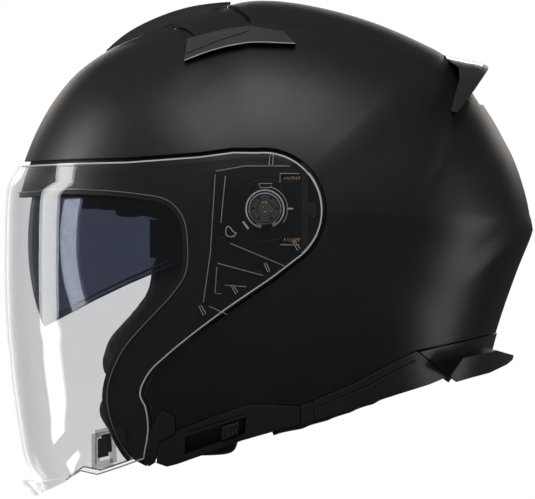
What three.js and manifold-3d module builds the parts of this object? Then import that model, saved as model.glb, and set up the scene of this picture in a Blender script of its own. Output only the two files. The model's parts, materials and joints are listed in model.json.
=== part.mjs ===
// Open face motorcycle helmet with a long clear visor, an inner sun visor and a chin strap.
// Millimetres, +Z up. The front is -X and the wearer's left is -Y. The origin is on the mid-plane,
// on the axis that the clear visor turns about. Outlines are drawn in the side view, as x and z.

import * as THREE from 'three';
import { mergeVertices } from 'three/addons/utils/BufferGeometryUtils.js';
import Module from 'manifold-3d';

const wasm = await Module();
wasm.setup();

// ---------- Driving dimensions ----------

const shellLength = 295; // brow edge to the ridge at the back
const crownHeight = 120.5; // crown above the visor axis
const shellHalfWidth = 125; // at the visor axis
const shellWall = 4;
const pocketDepth = 3.5; // step down from the painted shell to the area under the visor
const pocketWall = 3;
const pocketMargin = 2.5; // from the visor's edge to the pocket's edge
const squareness = 2.25; // exponent of the shell's cross-section, where 2 is an ellipse
const clearance = 0.3; // between pieces that touch
const visorWall = 1.9;
const visorGap = 0.8; // between the visor and the shell that it swings over
const visorEarRadius = 33.6;
const hubRadius = 9;
const boltRadius = 2.5;
const boltHeadRadius = 4.2;
const baseTop = 0.9; // depth of the pivot base's face below the shell's surface
const springRadius = 1.4;
const springLength = 10.4;
const catchTravel = 2.5;
const catchWidth = 4;
const sunVisorWall = 2;
const sunVisorRoom = 1.1; // from the sun visor to the shell's inner face
const sunVisorSideRoom = 2;
const sunPinRadius = 3;
const foamRoom = 0.5; // from the pocket's inner wall to the foam
const foamDepth = pocketDepth + pocketWall + foamRoom; // outer face of the foam below the shell's surface
const foamInnerDepth = 36;
const linerThickness = 7;
const cheekPadInnerDepth = 46;
const gasketWidth = 3.2;
const trimProud = 0.8; // how far the lower trims stand out from the shell
const trimDepth = 11;
const knobTravel = 20;
const knobHeight = 4;
const slotDepth = 5.5;
const ventTravel = 4;
const ventPocketDepth = 3;
const latchTravel = 3;
const latchThickness = 3;
const cableRadius = 1.5;
const strapWidth = 24;
const strapThickness = 1.8;
const strapTilt = THREE.MathUtils.degToRad(12);
const buckleLength = 36;
const buckleHeight = 8;
const tongueThickness = 2.2;

const wide = 200; // half length of a cut that goes right across
const lengthScale = shellLength / 295;
const heightScale = crownHeight / 120.5;

// ---------- Solids ----------

/** A point of the side view, moved with the shell's length and height. */
function side(x, z) {
  return new THREE.Vector2(x * lengthScale, z * heightScale);
}

/** A list of side-view points from a flat list of x, z pairs. */
function sides(...pairs) {
  return pairs.map(([x, z]) => side(x, z));
}

/** A smooth line through side-view points, with a few steps between each two. */
function smooth(points, steps = 2) {
  return new THREE.SplineCurve(points).getPoints((points.length - 1) * steps);
}

/** The closed solid of a geometry. */
function solid(geometry) {
  const bare = geometry.clone();
  bare.deleteAttribute('normal');
  bare.deleteAttribute('uv');
  const merged = mergeVertices(bare, 1e-4);
  const vertProperties = new Float32Array(merged.attributes.position.array);
  const triVerts = new Uint32Array(merged.index.array);
  return new wasm.Manifold(new wasm.Mesh({ numProp: 3, vertProperties, triVerts }));
}

/** A solid with a side-view outline, from one y to another. */
function prism(outline, from = -wide, to = wide) {
  const geometry = new THREE.ExtrudeGeometry(new THREE.Shape(outline), {
    depth: to - from,
    bevelEnabled: false,
  });
  geometry.rotateX(Math.PI / 2).translate(0, to, 0);
  return solid(geometry);
}

/** A solid with a plan-view outline of x and y, from one z to another. */
function column(outline, from, to) {
  const geometry = new THREE.ExtrudeGeometry(new THREE.Shape(outline), {
    depth: to - from,
    bevelEnabled: false,
  });
  return solid(geometry.translate(0, 0, from));
}

function box(x, y, z, at = [0, 0, 0]) {
  return solid(new THREE.BoxGeometry(x, y, z).translate(...at));
}

/** A cylinder along Y between two y values. */
function roundPin(radius, from, to, x = 0, z = 0, segments = 16) {
  const geometry = new THREE.CylinderGeometry(radius, radius, to - from, segments);
  return solid(geometry.translate(x, (from + to) / 2, z));
}

/** Moves each point of a closed outline outwards by a distance. */
function grow(outline, distance) {
  const turn = Math.sign(THREE.ShapeUtils.area(outline));
  const count = outline.length;
  return outline.map((point, i) => {
    const before = outline[(i + count - 1) % count];
    const after = outline[(i + 1) % count];
    const along = after.clone().sub(before).normalize();
    return new THREE.Vector2(point.x + turn * along.y * distance, point.y - turn * along.x * distance);
  });
}

/** The band between two copies of an open line, each moved to its right by a distance. */
function ribbon(line, near, far) {
  const moved = (distance) => line.map((point, i) => {
    const before = line[Math.max(i - 1, 0)];
    const after = line[Math.min(i + 1, line.length - 1)];
    const along = after.clone().sub(before).normalize();
    return new THREE.Vector2(point.x + along.y * distance, point.y - along.x * distance);
  });
  return [...moved(near), ...moved(far).reverse()];
}

/** Radius against angle of a closed outline round the origin, from the front, upwards. */
class Profile {
  constructor(points) {
    const loop = points.map((p) => new THREE.Vector3(p.x, 0, p.y));
    const curve = new THREE.CatmullRomCurve3(loop, true, 'centripetal');
    this.table = curve.getPoints(900).map((p) => [Profile.angleOf(p.x, p.z), Math.hypot(p.x, p.z)]);
    this.table.sort((a, b) => a[0] - b[0]);
  }

  static angleOf(x, z) {
    return (Math.atan2(z, -x) + 2 * Math.PI) % (2 * Math.PI);
  }

  radiusAt(angle) {
    const whole = 2 * Math.PI;
    const turn = ((angle % whole) + whole) % whole;
    const at = this.table.findIndex((entry) => entry[0] >= turn);
    const high = at < 0 ? [this.table[0][0] + whole, this.table[0][1]] : this.table[at];
    const last = this.table[this.table.length - 1];
    const low = at > 0 ? this.table[at - 1] : at < 0 ? last : [last[0] - whole, last[1]];
    const share = high[0] > low[0] ? (turn - low[0]) / (high[0] - low[0]) : 0;
    return low[1] + (high[1] - low[1]) * share;
  }
}

/**
 * A closed egg whose section on the mid-plane is a radius against angle, and whose every other
 * section is a smaller copy of it, ending in a pole on each side.
 */
function egg(radiusOf, halfWidth, { x = 0, z = 0, turns = 36, rings = 12 } = {}) {
  const geometry = new THREE.SphereGeometry(1, turns, rings);
  const position = geometry.attributes.position;
  for (let i = 0; i < position.count; i += 1) {
    const flat = Math.hypot(position.getX(i), position.getZ(i));
    const lean = Math.atan2(position.getY(i), flat);
    const angle = Profile.angleOf(position.getX(i), position.getZ(i));
    const pole = flat < 1e-6;
    const reach = pole ? 0 : radiusOf(angle) * Math.cos(lean) ** (2 / squareness);
    const out = pole ? 1 : Math.abs(Math.sin(lean)) ** (2 / squareness);
    const y = halfWidth * Math.sign(position.getY(i)) * out;
    position.setXYZ(i, x - reach * Math.cos(angle), Math.abs(lean) < 1e-9 ? 0 : y, z + reach * Math.sin(angle));
  }
  return solid(geometry);
}

const kept = new Map();

/** Makes a solid once for each key. */
function once(key, make) {
  if (!kept.has(key)) kept.set(key, make());
  return kept.get(key);
}

// ---------- The shell's form ----------

const shellProfile = new Profile(sides(
  [-146.5, 0], [-144.6, 12], [-140.4, 25.3], [-132.8, 44.5], [-122.4, 63], [-108.5, 79.5], [-90, 92.5],
  [-72, 100.5], [-53.4, 107.5], [-37, 113.3], [-24, 117.6], [-8, 120.5], [14.5, 119.3], [40.6, 114.1],
  [66.7, 106], [92.8, 94.4], [102.5, 89], [113, 78.8], [120.5, 68.5], [126.4, 59], [132.8, 49.7],
  [143.3, 31.1], [149.6, 12.6], [152.3, 0], [154.6, -7], [152.6, -14], [147.3, -29.2], [141.5, -47.7],
  [134, -70.9], [124.9, -104.8], [111.2, -132.5], [91, -157.6], [64.3, -176.7], [33.9, -192], [0, -200],
  [-35.9, -203.9], [-72.5, -199.2], [-106, -183.6], [-119.9, -170.6], [-129.8, -154.7], [-139.7, -125.8],
  [-143, -107.7], [-145.9, -84.3], [-147.5, -53.7], [-148.2, -23.5],
));

const visorFront = new Profile(sides(
  [-60, 18], [-100, 22], [-141, 24.5], [-147, 18.7], [-149.3, 15.5], [-150.8, 5], [-151.5, -24.5],
  [-151.1, -54], [-148.8, -86.4], [-143, -127.8], [-139.1, -146.9], [-136, -153.5], [-131, -160],
  [-125, -172.5], [-111, -192.3], [-78.7, -216], [-40, -228], [20, -150], [20, -20],
));

/** The shell's egg, at a depth below its painted surface. */
function shellEgg(depth) {
  return once(`shell ${depth}`, () =>
    egg((angle) => shellProfile.radiusAt(angle) - depth, shellHalfWidth - depth));
}

/** What lies between two depths below the painted surface. */
function layer(outer, inner) {
  return shellEgg(outer).subtract(shellEgg(inner));
}

/** The clear visor's egg, at a depth below its own outer face. */
function visorEgg(depth) {
  const inside = visorGap + visorWall;
  return once(`visor ${depth}`, () => egg(
    (angle) => Math.max(shellProfile.radiusAt(angle) + inside, visorFront.radiusAt(angle)) - depth,
    shellHalfWidth + inside - depth,
    { turns: 48, rings: 16 },
  ));
}

/** How far the shell's egg at a depth stands out sideways at a point of the side view. */
function halfWidthAt(point, depth = 0) {
  const reach = point.length() / (shellProfile.radiusAt(Profile.angleOf(point.x, point.y)) - depth);
  return (shellHalfWidth - depth) * Math.max(1 - reach ** squareness, 0) ** (1 / squareness);
}

const leftHalf = box(4 * wide, 2 * wide, 4 * wide, [0, -wide - clearance / 2, 0]);
const rightHalf = box(4 * wide, 2 * wide, 4 * wide, [0, wide + clearance / 2, 0]);
const halves = { left: leftHalf, right: rightHalf };
const signs = { left: -1, right: 1 };

// ---------- Outlines in the side view ----------

/** The clear visor: top edge, round ear at the pivot, diagonal edge, and the edge along the chin. */
function visorOutline() {
  const ear = [];
  const earCentre = side(-0.8, -1);
  for (let degrees = 96; degrees >= -56; degrees -= 12) {
    const angle = THREE.MathUtils.degToRad(degrees);
    ear.push(new THREE.Vector2(
      earCentre.x + visorEarRadius * Math.cos(angle),
      earCentre.y + visorEarRadius * Math.sin(angle),
    ));
  }
  const top = sides([-200, 25.3], [-140.4, 25.3], [-110, 26.5], [-78.3, 27.1], [-37.7, 30], [-18, 32.6]);
  const chin = smooth(sides(
    [4, -39.6], [-26.1, -60.3], [-56, -83.9], [-66.5, -94.5], [-71.1, -105.9], [-68, -113.5],
    [-66.6, -126.6], [-69.3, -143.2],
  ));
  const bottom = sides([-82.5, -148.1], [-96.3, -152.7], [-106, -150.6], [-114.4, -156.2], [-200, -160]);
  return [...top, ...ear, ...chin, ...bottom];
}

const visorSide = visorOutline();

/** The edge of the eye opening, from the brow down to the chin corner. */
const eyeEdge = smooth(sides(
  [-160, 9.8], [-138.9, 10.3], [-115.4, 12], [-72.5, 9.1], [-55, 5], [-46.4, -5], [-43.9, -20],
  [-45, -36.4], [-52, -48], [-68.6, -66], [-80.4, -79.8], [-88.2, -96], [-90.2, -108], [-87.6, -122.5],
  [-81.5, -136], [-75.6, -143.3], [-67, -148],
));

/** Where the shell ends below: front cap, slider housing, side trims and the neck piece. */
const lowerEdge = sides(
  [170, -71.2], [134.6, -71.2], [86.1, -81.1], [49.9, -99.9], [21, -112.2], [-9.3, -111.8],
  [-29.6, -118.2], [-50.9, -126.7], [-51.6, -118.4], [-58.8, -114.6], [-61.2, -117.6], [-65.7, -126.6],
  [-68.3, -143.2], [-67.5, -150],
);

const frontCapSide = sides(
  [-58.8, -115], [-51.9, -118.8], [-51.6, -128.7], [-60.7, -133.7], [-62.9, -145.3], [-65.3, -146.3],
  [-68, -143.4], [-65.4, -126.6], [-60.9, -117.9],
);

const sliderSide = sides(
  [-51, -127.1], [-29.6, -118.6], [-9.3, -112.2], [20.1, -112.7], [20.1, -123], [-13.3, -132.6],
  [-37.7, -141.7], [-50.6, -146.3], [-56.3, -147.7], [-62.4, -145.5], [-60.3, -134.1], [-51.2, -129.1],
);

const knobSide = sides([-24.6, -124.6], [-15.1, -121.4], [-15.7, -129.2], [-24.6, -132.4]);
const slideWay = new THREE.Vector2(-0.95, -0.312); // the way the knob slides to raise the sun visor

/** A corner of the knob, moved along its way and then upwards. */
function slotCorner(corner, along, up) {
  return corner.clone().addScaledVector(slideWay, along).add(new THREE.Vector2(0, up));
}

const slotSide = [
  slotCorner(knobSide[0], knobTravel + 2.5, 1),
  slotCorner(knobSide[1], -4.5, 1),
  slotCorner(knobSide[2], -4.5, -1),
  slotCorner(knobSide[3], knobTravel + 2.5, -1),
];
const clipSide = sides([20.5, -112.7], [27.2, -110.3], [27.4, -121.6], [20.6, -123.7]);

const rearTrimSide = sides(
  [27.6, -110], [49.9, -100.4], [86.4, -81.5], [88, -82.2], [105.3, -96.1], [94.5, -100.6],
  [77.5, -105.8], [27.8, -121.4],
);

const neckPieceSide = sides(
  [88.6, -81.8], [134.6, -71.6], [160, -71.6], [160, -96], [128, -94.6], [110, -99.4], [105.9, -96],
);

const flangeSide = sides(
  [114, -85.5], [134, -81.5], [146.2, -85], [139.8, -89.5], [129.3, -94.1], [110, -98.9], [106.5, -95.8],
);

const cheekPadSide = [
  ...smooth(sides(
    [-62, -20], [-65, -35.6], [-74, -53.8], [-90.2, -72.5], [-98.4, -92.9], [-98.4, -112.4],
    [-92, -128], [-77, -141], [-56, -145.5], [-30, -144.2], [-13, -141],
  )),
  side(-12, -90), side(-13, -20),
];

// ---------- Shell, foam and lining ----------

/** The zone under the visor where the shell steps down. */
const pocketZone = once('pocket', () => prism(grow(visorSide, pocketMargin)));
const pocketRoom = once('room', () => prism(grow(visorSide, pocketMargin + shellWall)));
const eyeOpening = prism([...eyeEdge, side(-60, -170), side(-220, -170), side(-220, 9.8)]);
const shellKeep = prism([...lowerEdge, side(-200, -150), side(-200, 200), side(170, 200)]);

function outerShell() {
  const painted = shellEgg(0).subtract(pocketZone);
  const stepped = shellEgg(pocketDepth);
  const hollow = shellEgg(shellWall).subtract(pocketRoom);
  const steppedHollow = shellEgg(pocketDepth + pocketWall);
  let shell = painted.add(stepped).subtract(hollow.add(steppedHollow)).intersect(shellKeep);
  shell = shell.subtract(eyeOpening);
  shell = shell.subtract(ventPocket).subtract(grillePocket);
  for (const sign of [-1, 1]) {
    const [low, high] = [shellHalfWidth - 30, shellHalfWidth + 5].map((y) => sign * y).sort((a, b) => a - b);
    shell = shell.subtract(roundPin(boltRadius + clearance, low, high));
  }
  return shell;
}

const sunPivot = side(4.2, -18.8);

/** The largest round that stays inside the shell all the way up the sun visor's travel. */
function sunVisorRadiusThatFits() {
  let room = Infinity;
  for (let degrees = 20; degrees <= 48; degrees += 2) {
    const angle = THREE.MathUtils.degToRad(degrees);
    let reach = 60;
    const inside = () => {
      const point = new THREE.Vector2(
        sunPivot.x - reach * Math.cos(angle),
        sunPivot.y + reach * Math.sin(angle),
      );
      return point.length() < shellProfile.radiusAt(Profile.angleOf(point.x, point.y)) - shellWall;
    };
    while (inside()) reach += 0.1;
    room = Math.min(room, reach);
  }
  return room - sunVisorRoom;
}

const sunVisorRadius = sunVisorRadiusThatFits();
const sunVisorHalfWidth = shellHalfWidth - pocketDepth - pocketWall - sunVisorSideRoom;

/** The sun visor's egg, a true round about its own axis, at a depth below its outer face. */
function sunEgg(depth) {
  return egg(() => sunVisorRadius - depth, sunVisorHalfWidth - depth, {
    x: sunPivot.x,
    z: sunPivot.y,
    turns: 40,
    rings: 14,
  });
}

/** The sector that the sun visor sweeps, with an egg-shaped inner face. */
function sweptSector() {
  const reach = 260;
  const outline = [];
  for (const degrees of [-45, -20, 10, 35, 58]) {
    const angle = THREE.MathUtils.degToRad(degrees);
    outline.push(new THREE.Vector2(
      sunPivot.x - reach * Math.cos(angle),
      sunPivot.y + reach * Math.sin(angle),
    ));
  }
  outline.push(side(12, 34), side(24, 10), side(26, -20), side(14, -38), side(-30, -42));
  return prism(outline).subtract(sunEgg(sunVisorWall + 1.6));
}

const sunVisorWay = sweptSector();

const cablePath = [
  [-6, -104], [6, -92], [24, -80], [40, -62], [44, -44], [36, -30],
].map(([x, z]) => {
  const point = side(x, z);
  return new THREE.Vector3(point.x, -halfWidthAt(point, foamDepth + cableRadius + 0.6), point.y);
});

/** A round rod along a line of points. */
function rod(points, radius, sideCount = 6, steps = 16) {
  const section = new THREE.Shape();
  section.absarc(0, 0, radius, 0, 2 * Math.PI);
  const geometry = new THREE.ExtrudeGeometry(section, {
    steps,
    curveSegments: sideCount,
    bevelEnabled: false,
    extrudePath: new THREE.CatmullRomCurve3(points),
  });
  return solid(geometry);
}

function foamLiner() {
  const keep = prism([
    ...sides([-200, 9], [-110, 7], [-64, 3], [-58, -16], [-12, -16], [-2, -22], [0, -84], [12, -99]),
    ...sides([45, -91], [85, -73], [125, -62], [200, -60], [200, 200], [-200, 200]),
  ]);
  let foam = layer(foamDepth, foamInnerDepth).intersect(keep).subtract(sunVisorWay);
  foam = foam.subtract(rod(cablePath, cableRadius + 0.6));
  return foam;
}

function crownLiner() {
  const keep = prism(sides(
    [-200, -3], [-103.4, -3.1], [-79.8, -7.1], [-65.7, -8.3], [-58, -14], [-6, -14], [2, -40],
    [20, -60], [60, -64], [200, -54], [200, 200], [-200, 200],
  ));
  const inner = foamInnerDepth + clearance;
  return layer(inner, inner + linerThickness).intersect(keep);
}

const neckEllipse = new THREE.EllipseCurve(-8 * lengthScale, 0, 118 * lengthScale, 69);
const neckOpening = column(neckEllipse.getPoints(40).slice(0, -1), -260, -84 * heightScale);

const trimZone = grow([...lowerEdge, side(-67.5, -190), side(170, -190)], 2 * clearance);

function cheekPad(which) {
  const pad = layer(pocketDepth + pocketWall + 1, cheekPadInnerDepth).intersect(prism(cheekPadSide));
  const trims = layer(-2, trimDepth + 2 * clearance).intersect(prism(trimZone));
  return pad.intersect(halves[which]).subtract(sunVisorWay).subtract(neckOpening).subtract(trims);
}

function neckRoll() {
  const points = [[2, -123], [14, -120.5], [45, -110.5], [75, -98.5], [95, -90]].map(([x, z]) => {
    const point = side(x, z);
    return new THREE.Vector3(point.x, -halfWidthAt(point, trimDepth + 12), point.y);
  });
  const back = side(104, -85);
  const mirrored = points.map((p) => new THREE.Vector3(p.x, -p.y, p.z)).reverse();
  const path = new THREE.CatmullRomCurve3([...points, new THREE.Vector3(back.x, 0, back.y), ...mirrored]);
  const section = new THREE.Shape();
  section.absarc(0, 0, 9.6, 0, 2 * Math.PI);
  return solid(new THREE.ExtrudeGeometry(section, {
    steps: 20,
    curveSegments: 10,
    bevelEnabled: false,
    extrudePath: path,
  }));
}

function eyeGasket() {
  const band = prism(ribbon(eyeEdge.slice(0, -2), clearance, gasketWidth));
  return layer(pocketDepth - 0.8, pocketDepth + pocketWall + 0.8).intersect(band);
}

// ---------- Clear visor and its pivots ----------

function clearVisor() {
  const front = box(2 * wide, 4 * wide, 4 * wide, [-wide + 60, 0, 0]);
  let visor = visorEgg(0).subtract(visorEgg(visorWall)).intersect(prism(visorSide)).intersect(front);
  visor = visor.add(visorLip());
  const poleOuter = shellHalfWidth + visorGap + visorWall;
  for (const sign of [-1, 1]) {
    const [from, to] = [poleOuter - 2.6, poleOuter - 0.4].map((y) => sign * y).sort((a, b) => a - b);
    const [low, high] = [poleOuter - 9, poleOuter + 9].map((y) => sign * y).sort((a, b) => a - b);
    visor = visor.add(roundPin(hubRadius + 2.2, from, to, 0, 0, 20));
    visor = visor.subtract(roundPin(hubRadius + 0.5, low, high, 0, 0, 20));
  }
  return visor;
}

/** The lip under the middle of the visor, which a hand lifts it by. */
function visorLip() {
  const lipSide = sides([-200, -166.5], [-136.5, -166.5], [-134, -166.4], [-114.4, -157.2], [-116, -154.6],
    [-131.4, -157.2], [-140, -157]);
  const lipEgg = (depth) => egg(
    (angle) => Math.max(visorFront.radiusAt(angle) + 7 - depth, 40),
    shellHalfWidth + 4 - depth,
    { turns: 48, rings: 16 },
  );
  return lipEgg(0).subtract(lipEgg(8.6)).intersect(prism(lipSide))
    .intersect(box(240 * lengthScale, 120, 400, [-120 * lengthScale, 0, -100]));
}

const baseRadius = visorEarRadius + 0.8;

function pivotBase(which) {
  const outline = [
    ...sides([-41.5, -69.5], [-36.6, -54], [-32.5, -25], [-29.5, 22.4]),
    new THREE.Vector2(-12 * lengthScale, visorEarRadius - 7.7),
    new THREE.Vector2(15.5 * lengthScale, visorEarRadius - 7.7),
  ];
  for (let degrees = 50; degrees >= -58; degrees -= 12) {
    const angle = THREE.MathUtils.degToRad(degrees);
    outline.push(new THREE.Vector2(baseRadius * Math.cos(angle), baseRadius * Math.sin(angle)));
  }
  outline.push(side(4, -40.6), side(-26.1, -61.6));
  let base = layer(baseTop, pocketDepth - clearance).intersect(prism(outline)).intersect(halves[which]);
  base = base.subtract(catchRoom(0.4, catchTravel));
  for (const z of springHeights) base = base.subtract(springRoom(z));
  return base.subtract(roundPin(boltRadius + clearance, -wide, wide));
}

const catchEdge = visorEarRadius - 12.7; // the face of the release catch that the springs press on
const catchEndRoom = 2.735; // from the catch's ends to the base's round edge
const catchLength = 2 * (Math.sqrt(baseRadius ** 2 - (catchEdge + catchWidth) ** 2) - catchEndRoom);
const springHeights = [catchLength / 2 - 3.5, -catchLength / 2 + 3.4];

function springRoom(z) {
  const length = springLength + 1;
  return box(length, 4 * wide, 2 * springRadius + 1, [catchEdge - length / 2 + 0.2, 0, z]);
}

function catchRoom(gap, travel = 0) {
  const bar = box(catchWidth + 2 * gap + travel, 4 * wide, catchLength + 2 * gap, [
    catchEdge + catchWidth / 2 - travel / 2, 0, 0]);
  const tab = box(5 + gap + travel, 4 * wide, 7 + 2 * gap, [
    catchEdge + catchWidth + (5 + gap - travel) / 2 - 0.5, 0, 0]);
  return bar.add(tab);
}

function releaseCatch(which) {
  return layer(baseTop + 0.2, pocketDepth - clearance).intersect(catchRoom(0)).intersect(halves[which]);
}

function catchSpring(which, z) {
  const middle = new THREE.Vector2(catchEdge - clearance - springLength / 2, z);
  const y = signs[which] * (halfWidthAt(middle, pocketDepth) + clearance + springRadius);
  const geometry = new THREE.CylinderGeometry(springRadius, springRadius, springLength, 12);
  geometry.rotateZ(Math.PI / 2).translate(middle.x, y, middle.y);
  return solid(geometry);
}

function pivotHub(which) {
  const sign = signs[which];
  const inner = shellHalfWidth - baseTop + clearance;
  const outer = shellHalfWidth + visorGap + visorWall + 0.3;
  const [from, to] = [inner, outer].map((y) => sign * y).sort((a, b) => a - b);
  const [seatFrom, seatTo] = [outer - 2, outer + 5].map((y) => sign * y).sort((a, b) => a - b);
  return roundPin(hubRadius, from, to, 0, 0, 20)
    .subtract(roundPin(boltRadius + clearance, -wide, wide))
    .subtract(roundPin(boltHeadRadius + clearance, seatFrom, seatTo));
}

function pivotBolt(which) {
  const sign = signs[which];
  const face = shellHalfWidth + visorGap + visorWall + 0.3;
  const [headFrom, headTo] = [face - 1.6, face + 0.1].map((y) => sign * y).sort((a, b) => a - b);
  const end = shellHalfWidth - pocketDepth - pocketWall;
  const [from, to] = [end, face - 1].map((y) => sign * y).sort((a, b) => a - b);
  const recess = new THREE.CylinderGeometry(1.6, 1.6, 2, 6).translate(0, sign * (face + 0.2), 0);
  return roundPin(boltHeadRadius, headFrom, headTo).add(roundPin(boltRadius, from, to)).subtract(solid(recess));
}

/** The black latch that slides down in the visor's lower corner, and the clear frame round it. */
const latchSide = sides([-96, -131.8], [-90.4, -130.6], [-89.6, -141.5], [-96, -143]);

function latch(which) {
  const room = visorWall + clearance;
  return visorEgg(room).subtract(visorEgg(room + latchThickness)).intersect(prism(latchSide))
    .intersect(halves[which]);
}

/** The frame on the visor's inner face, with room for the latch to slide down. */
function latchFrame(which) {
  const below = latchTravel + 0.8;
  const hole = sides([-96.6, -131.2], [-89.8, -130], [-88.9, -141.5 - below], [-96.6, -143.2 - below]);
  const outer = sides([-99.5, -129], [-87.8, -126.6], [-86.8, -143.8 - below], [-99.5, -145.6 - below]);
  const room = visorWall + clearance;
  return visorEgg(room).subtract(visorEgg(room + latchThickness)).intersect(prism(outer))
    .subtract(prism(hole)).intersect(halves[which]);
}

function latchPost(which) {
  const outline = sides([-86, -125.8], [-80.8, -124.6], [-79.6, -134.4], [-83.6, -136.2]);
  return layer(0.2, pocketDepth - clearance).intersect(prism(outline)).intersect(halves[which])
    .subtract(eyeOpening);
}

// ---------- Sun visor ----------

function sunVisor() {
  const upper = 15.5; // degrees above level that the lens reaches under the brow
  const outline = [];
  for (let degrees = upper; degrees >= -26; degrees -= 11) {
    const angle = THREE.MathUtils.degToRad(degrees);
    outline.push(new THREE.Vector2(sunPivot.x - 200 * Math.cos(angle), sunPivot.y + 200 * Math.sin(angle)));
  }
  outline.push(...sides([-128.5, -68.3], [-99.8, -53], [-79.8, -43.4], [-53.1, -32], [-20, -30]));
  for (let degrees = -100; degrees <= 60; degrees += 20) {
    const angle = THREE.MathUtils.degToRad(degrees);
    outline.push(new THREE.Vector2(sunPivot.x + 9 * Math.cos(angle), sunPivot.y + 9 * Math.sin(angle)));
  }
  outline.push(...sides([-16, -8], [-38, 4], [-50, 17], [-70, 21]));
  const topAngle = THREE.MathUtils.degToRad(upper);
  outline.push(new THREE.Vector2(sunPivot.x - 120 * Math.cos(topAngle), sunPivot.y + 120 * Math.sin(topAngle)));
  let lens = sunEgg(0).subtract(sunEgg(sunVisorWall)).intersect(prism(outline));
  lens = lens.subtract(noseNotch());
  return lens.subtract(roundPin(sunPinRadius + 0.4, -wide, wide, sunPivot.x, sunPivot.y));
}

/** The notch over the nose, cut from front to back. */
function noseNotch() {
  const rise = 20.5 * heightScale;
  const top = -47.5 * heightScale;
  const shape = new THREE.Shape(smooth([
    new THREE.Vector2(-26, top - rise - 6), new THREE.Vector2(-14, top - rise * 0.75),
    new THREE.Vector2(0, top), new THREE.Vector2(14, top - rise * 0.75),
    new THREE.Vector2(26, top - rise - 6),
  ], 3));
  const geometry = new THREE.ExtrudeGeometry(shape, { depth: 120, bevelEnabled: false });
  geometry.rotateX(Math.PI / 2).rotateZ(-Math.PI / 2).translate(sunPivot.x - 170, 0, 0);
  return solid(geometry);
}

function sunPin(which) {
  const outer = sunVisorHalfWidth + 0.3;
  const inner = sunVisorHalfWidth - sunVisorWall - 1.2;
  const span = (low, high) => [low, high].map((y) => signs[which] * y).sort((p, q) => p - q);
  const head = roundPin(sunPinRadius + 2, ...span(inner, inner + 0.8), sunPivot.x, sunPivot.y);
  return roundPin(sunPinRadius, ...span(inner, outer), sunPivot.x, sunPivot.y).add(head);
}

// ---------- Lower trims ----------

const trimLayer = layer(-trimProud, trimDepth);

function lowerTrim(outline, which) {
  return trimLayer.intersect(prism(outline)).intersect(halves[which]);
}

function sliderHousing() {
  const slot = layer(-trimProud - 1, slotDepth).intersect(prism(slotSide));
  return lowerTrim(sliderSide, 'left').subtract(slot);
}

/** The ridged knob that works the sun visor, in the slot of the slider housing. */
function sunKnob() {
  return layer(-knobHeight, slotDepth - 1).intersect(prism(knobSide)).intersect(leftHalf);
}

function jointClip(which) {
  return layer(-trimProud - 1.2, trimDepth - 3).intersect(prism(clipSide)).intersect(halves[which]);
}

function neckPiece() {
  const collar = trimLayer.intersect(prism(neckPieceSide));
  const flange = layer(-14, trimDepth).intersect(prism(flangeSide));
  return collar.add(flange);
}

// ---------- Top vent ----------

const ridgeProfile = new Profile(sides(
  [-146.5, 0], [-140.4, 25.3], [-122.4, 63], [-104, 84], [-92.8, 94.8], [-86.4, 100.2], [-78.3, 104.8],
  [-63.8, 111.2], [-46.4, 117], [-29, 119.9], [-8, 120.7], [14.5, 119.3], [92.8, 94.4], [152, 0],
  [111.2, -132.5], [0, -200], [-106, -183.6], [-145.9, -84.3],
));

const flat = (x, y) => new THREE.Vector2(x * lengthScale, y);
const ridgePlan = [flat(-92, -1.5), flat(-62, -9), flat(-27, -9), flat(-20, -4), flat(-20, 4), flat(-27, 9),
  flat(-62, 9), flat(-92, 1.5)];
const shutterPlan = (sign, gap = 0) => [
  flat(-53.4 - gap, sign * 10), flat(-39.4 - gap, sign * 61), flat(-10.5 + gap, sign * 65),
  flat(-26.7 + gap, sign * 10),
];
const wingSide = sides(
  [-46.4, 85.1], [-44.7, 98.4], [-23.8, 103.6], [-9.3, 105.4], [10.4, 102.5], [17.7, 94.9],
  [-8.1, 95.5], [-23.8, 92.9], [-35.4, 89.4],
);

/** The step in the shell that the vent's shutter slides in. */
function ventRoom() {
  const ahead = ventTravel + 2.1;
  const rooms = [-1, 1].map((sign) => column([
    flat(-53.4 - ahead, sign * 9), flat(-39.4 - ahead, sign * 62), flat(-6.5, sign * 66), flat(-21.5, sign * 9),
  ], 60, 160));
  const middle = column([
    flat(-53.4 - ahead, -9.5), flat(-21.5, -9.5), flat(-21.5, 9.5), flat(-53.4 - ahead, 9.5),
  ], 60, 160);
  return rooms[0].add(rooms[1]).add(middle);
}

const ventPocket = layer(-6, ventPocketDepth).intersect(ventRoom());

function ventRidge() {
  const ridge = egg((angle) => Math.max(ridgeProfile.radiusAt(angle), 20), shellHalfWidth);
  return ridge.subtract(shellEgg(-clearance)).intersect(column(ridgePlan, 60, 160));
}

/** The shutter: a swept panel each side, joined under the ridge. */
function ventShutter() {
  const bridge = column([flat(-48, -11), flat(-31, -11), flat(-31, 11), flat(-48, 11)], 60, 160);
  const plan = column(shutterPlan(-1), 60, 160).add(column(shutterPlan(1), 60, 160)).add(bridge);
  return layer(0, ventPocketDepth - 3 * clearance).intersect(plan);
}

function ventWing(which) {
  return layer(-4, -clearance).intersect(prism(wingSide)).intersect(halves[which])
    .subtract(column(shutterPlan(signs[which], 5), 60, 160));
}

// ---------- Rear spoiler ----------

const spoilerProfile = new Profile(sides(
  [-146.5, 0], [-90, 92.5], [-8, 120.5], [66.7, 106], [92.8, 94.4], [101.5, 90.3], [115.5, 86.9],
  [129.4, 83.3], [152, 62], [154, 0], [111.2, -132.5], [0, -200], [-106, -183.6], [-145.9, -84.3],
));

const spoilerSide = sides(
  [103, 90.6], [129.1, 83.9], [129.1, 81], [120.6, 68.8], [110.2, 55.5], [107, 56], [108.8, 64.8],
  [112, 75.2], [111.7, 81.6], [105, 87.2],
);

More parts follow.
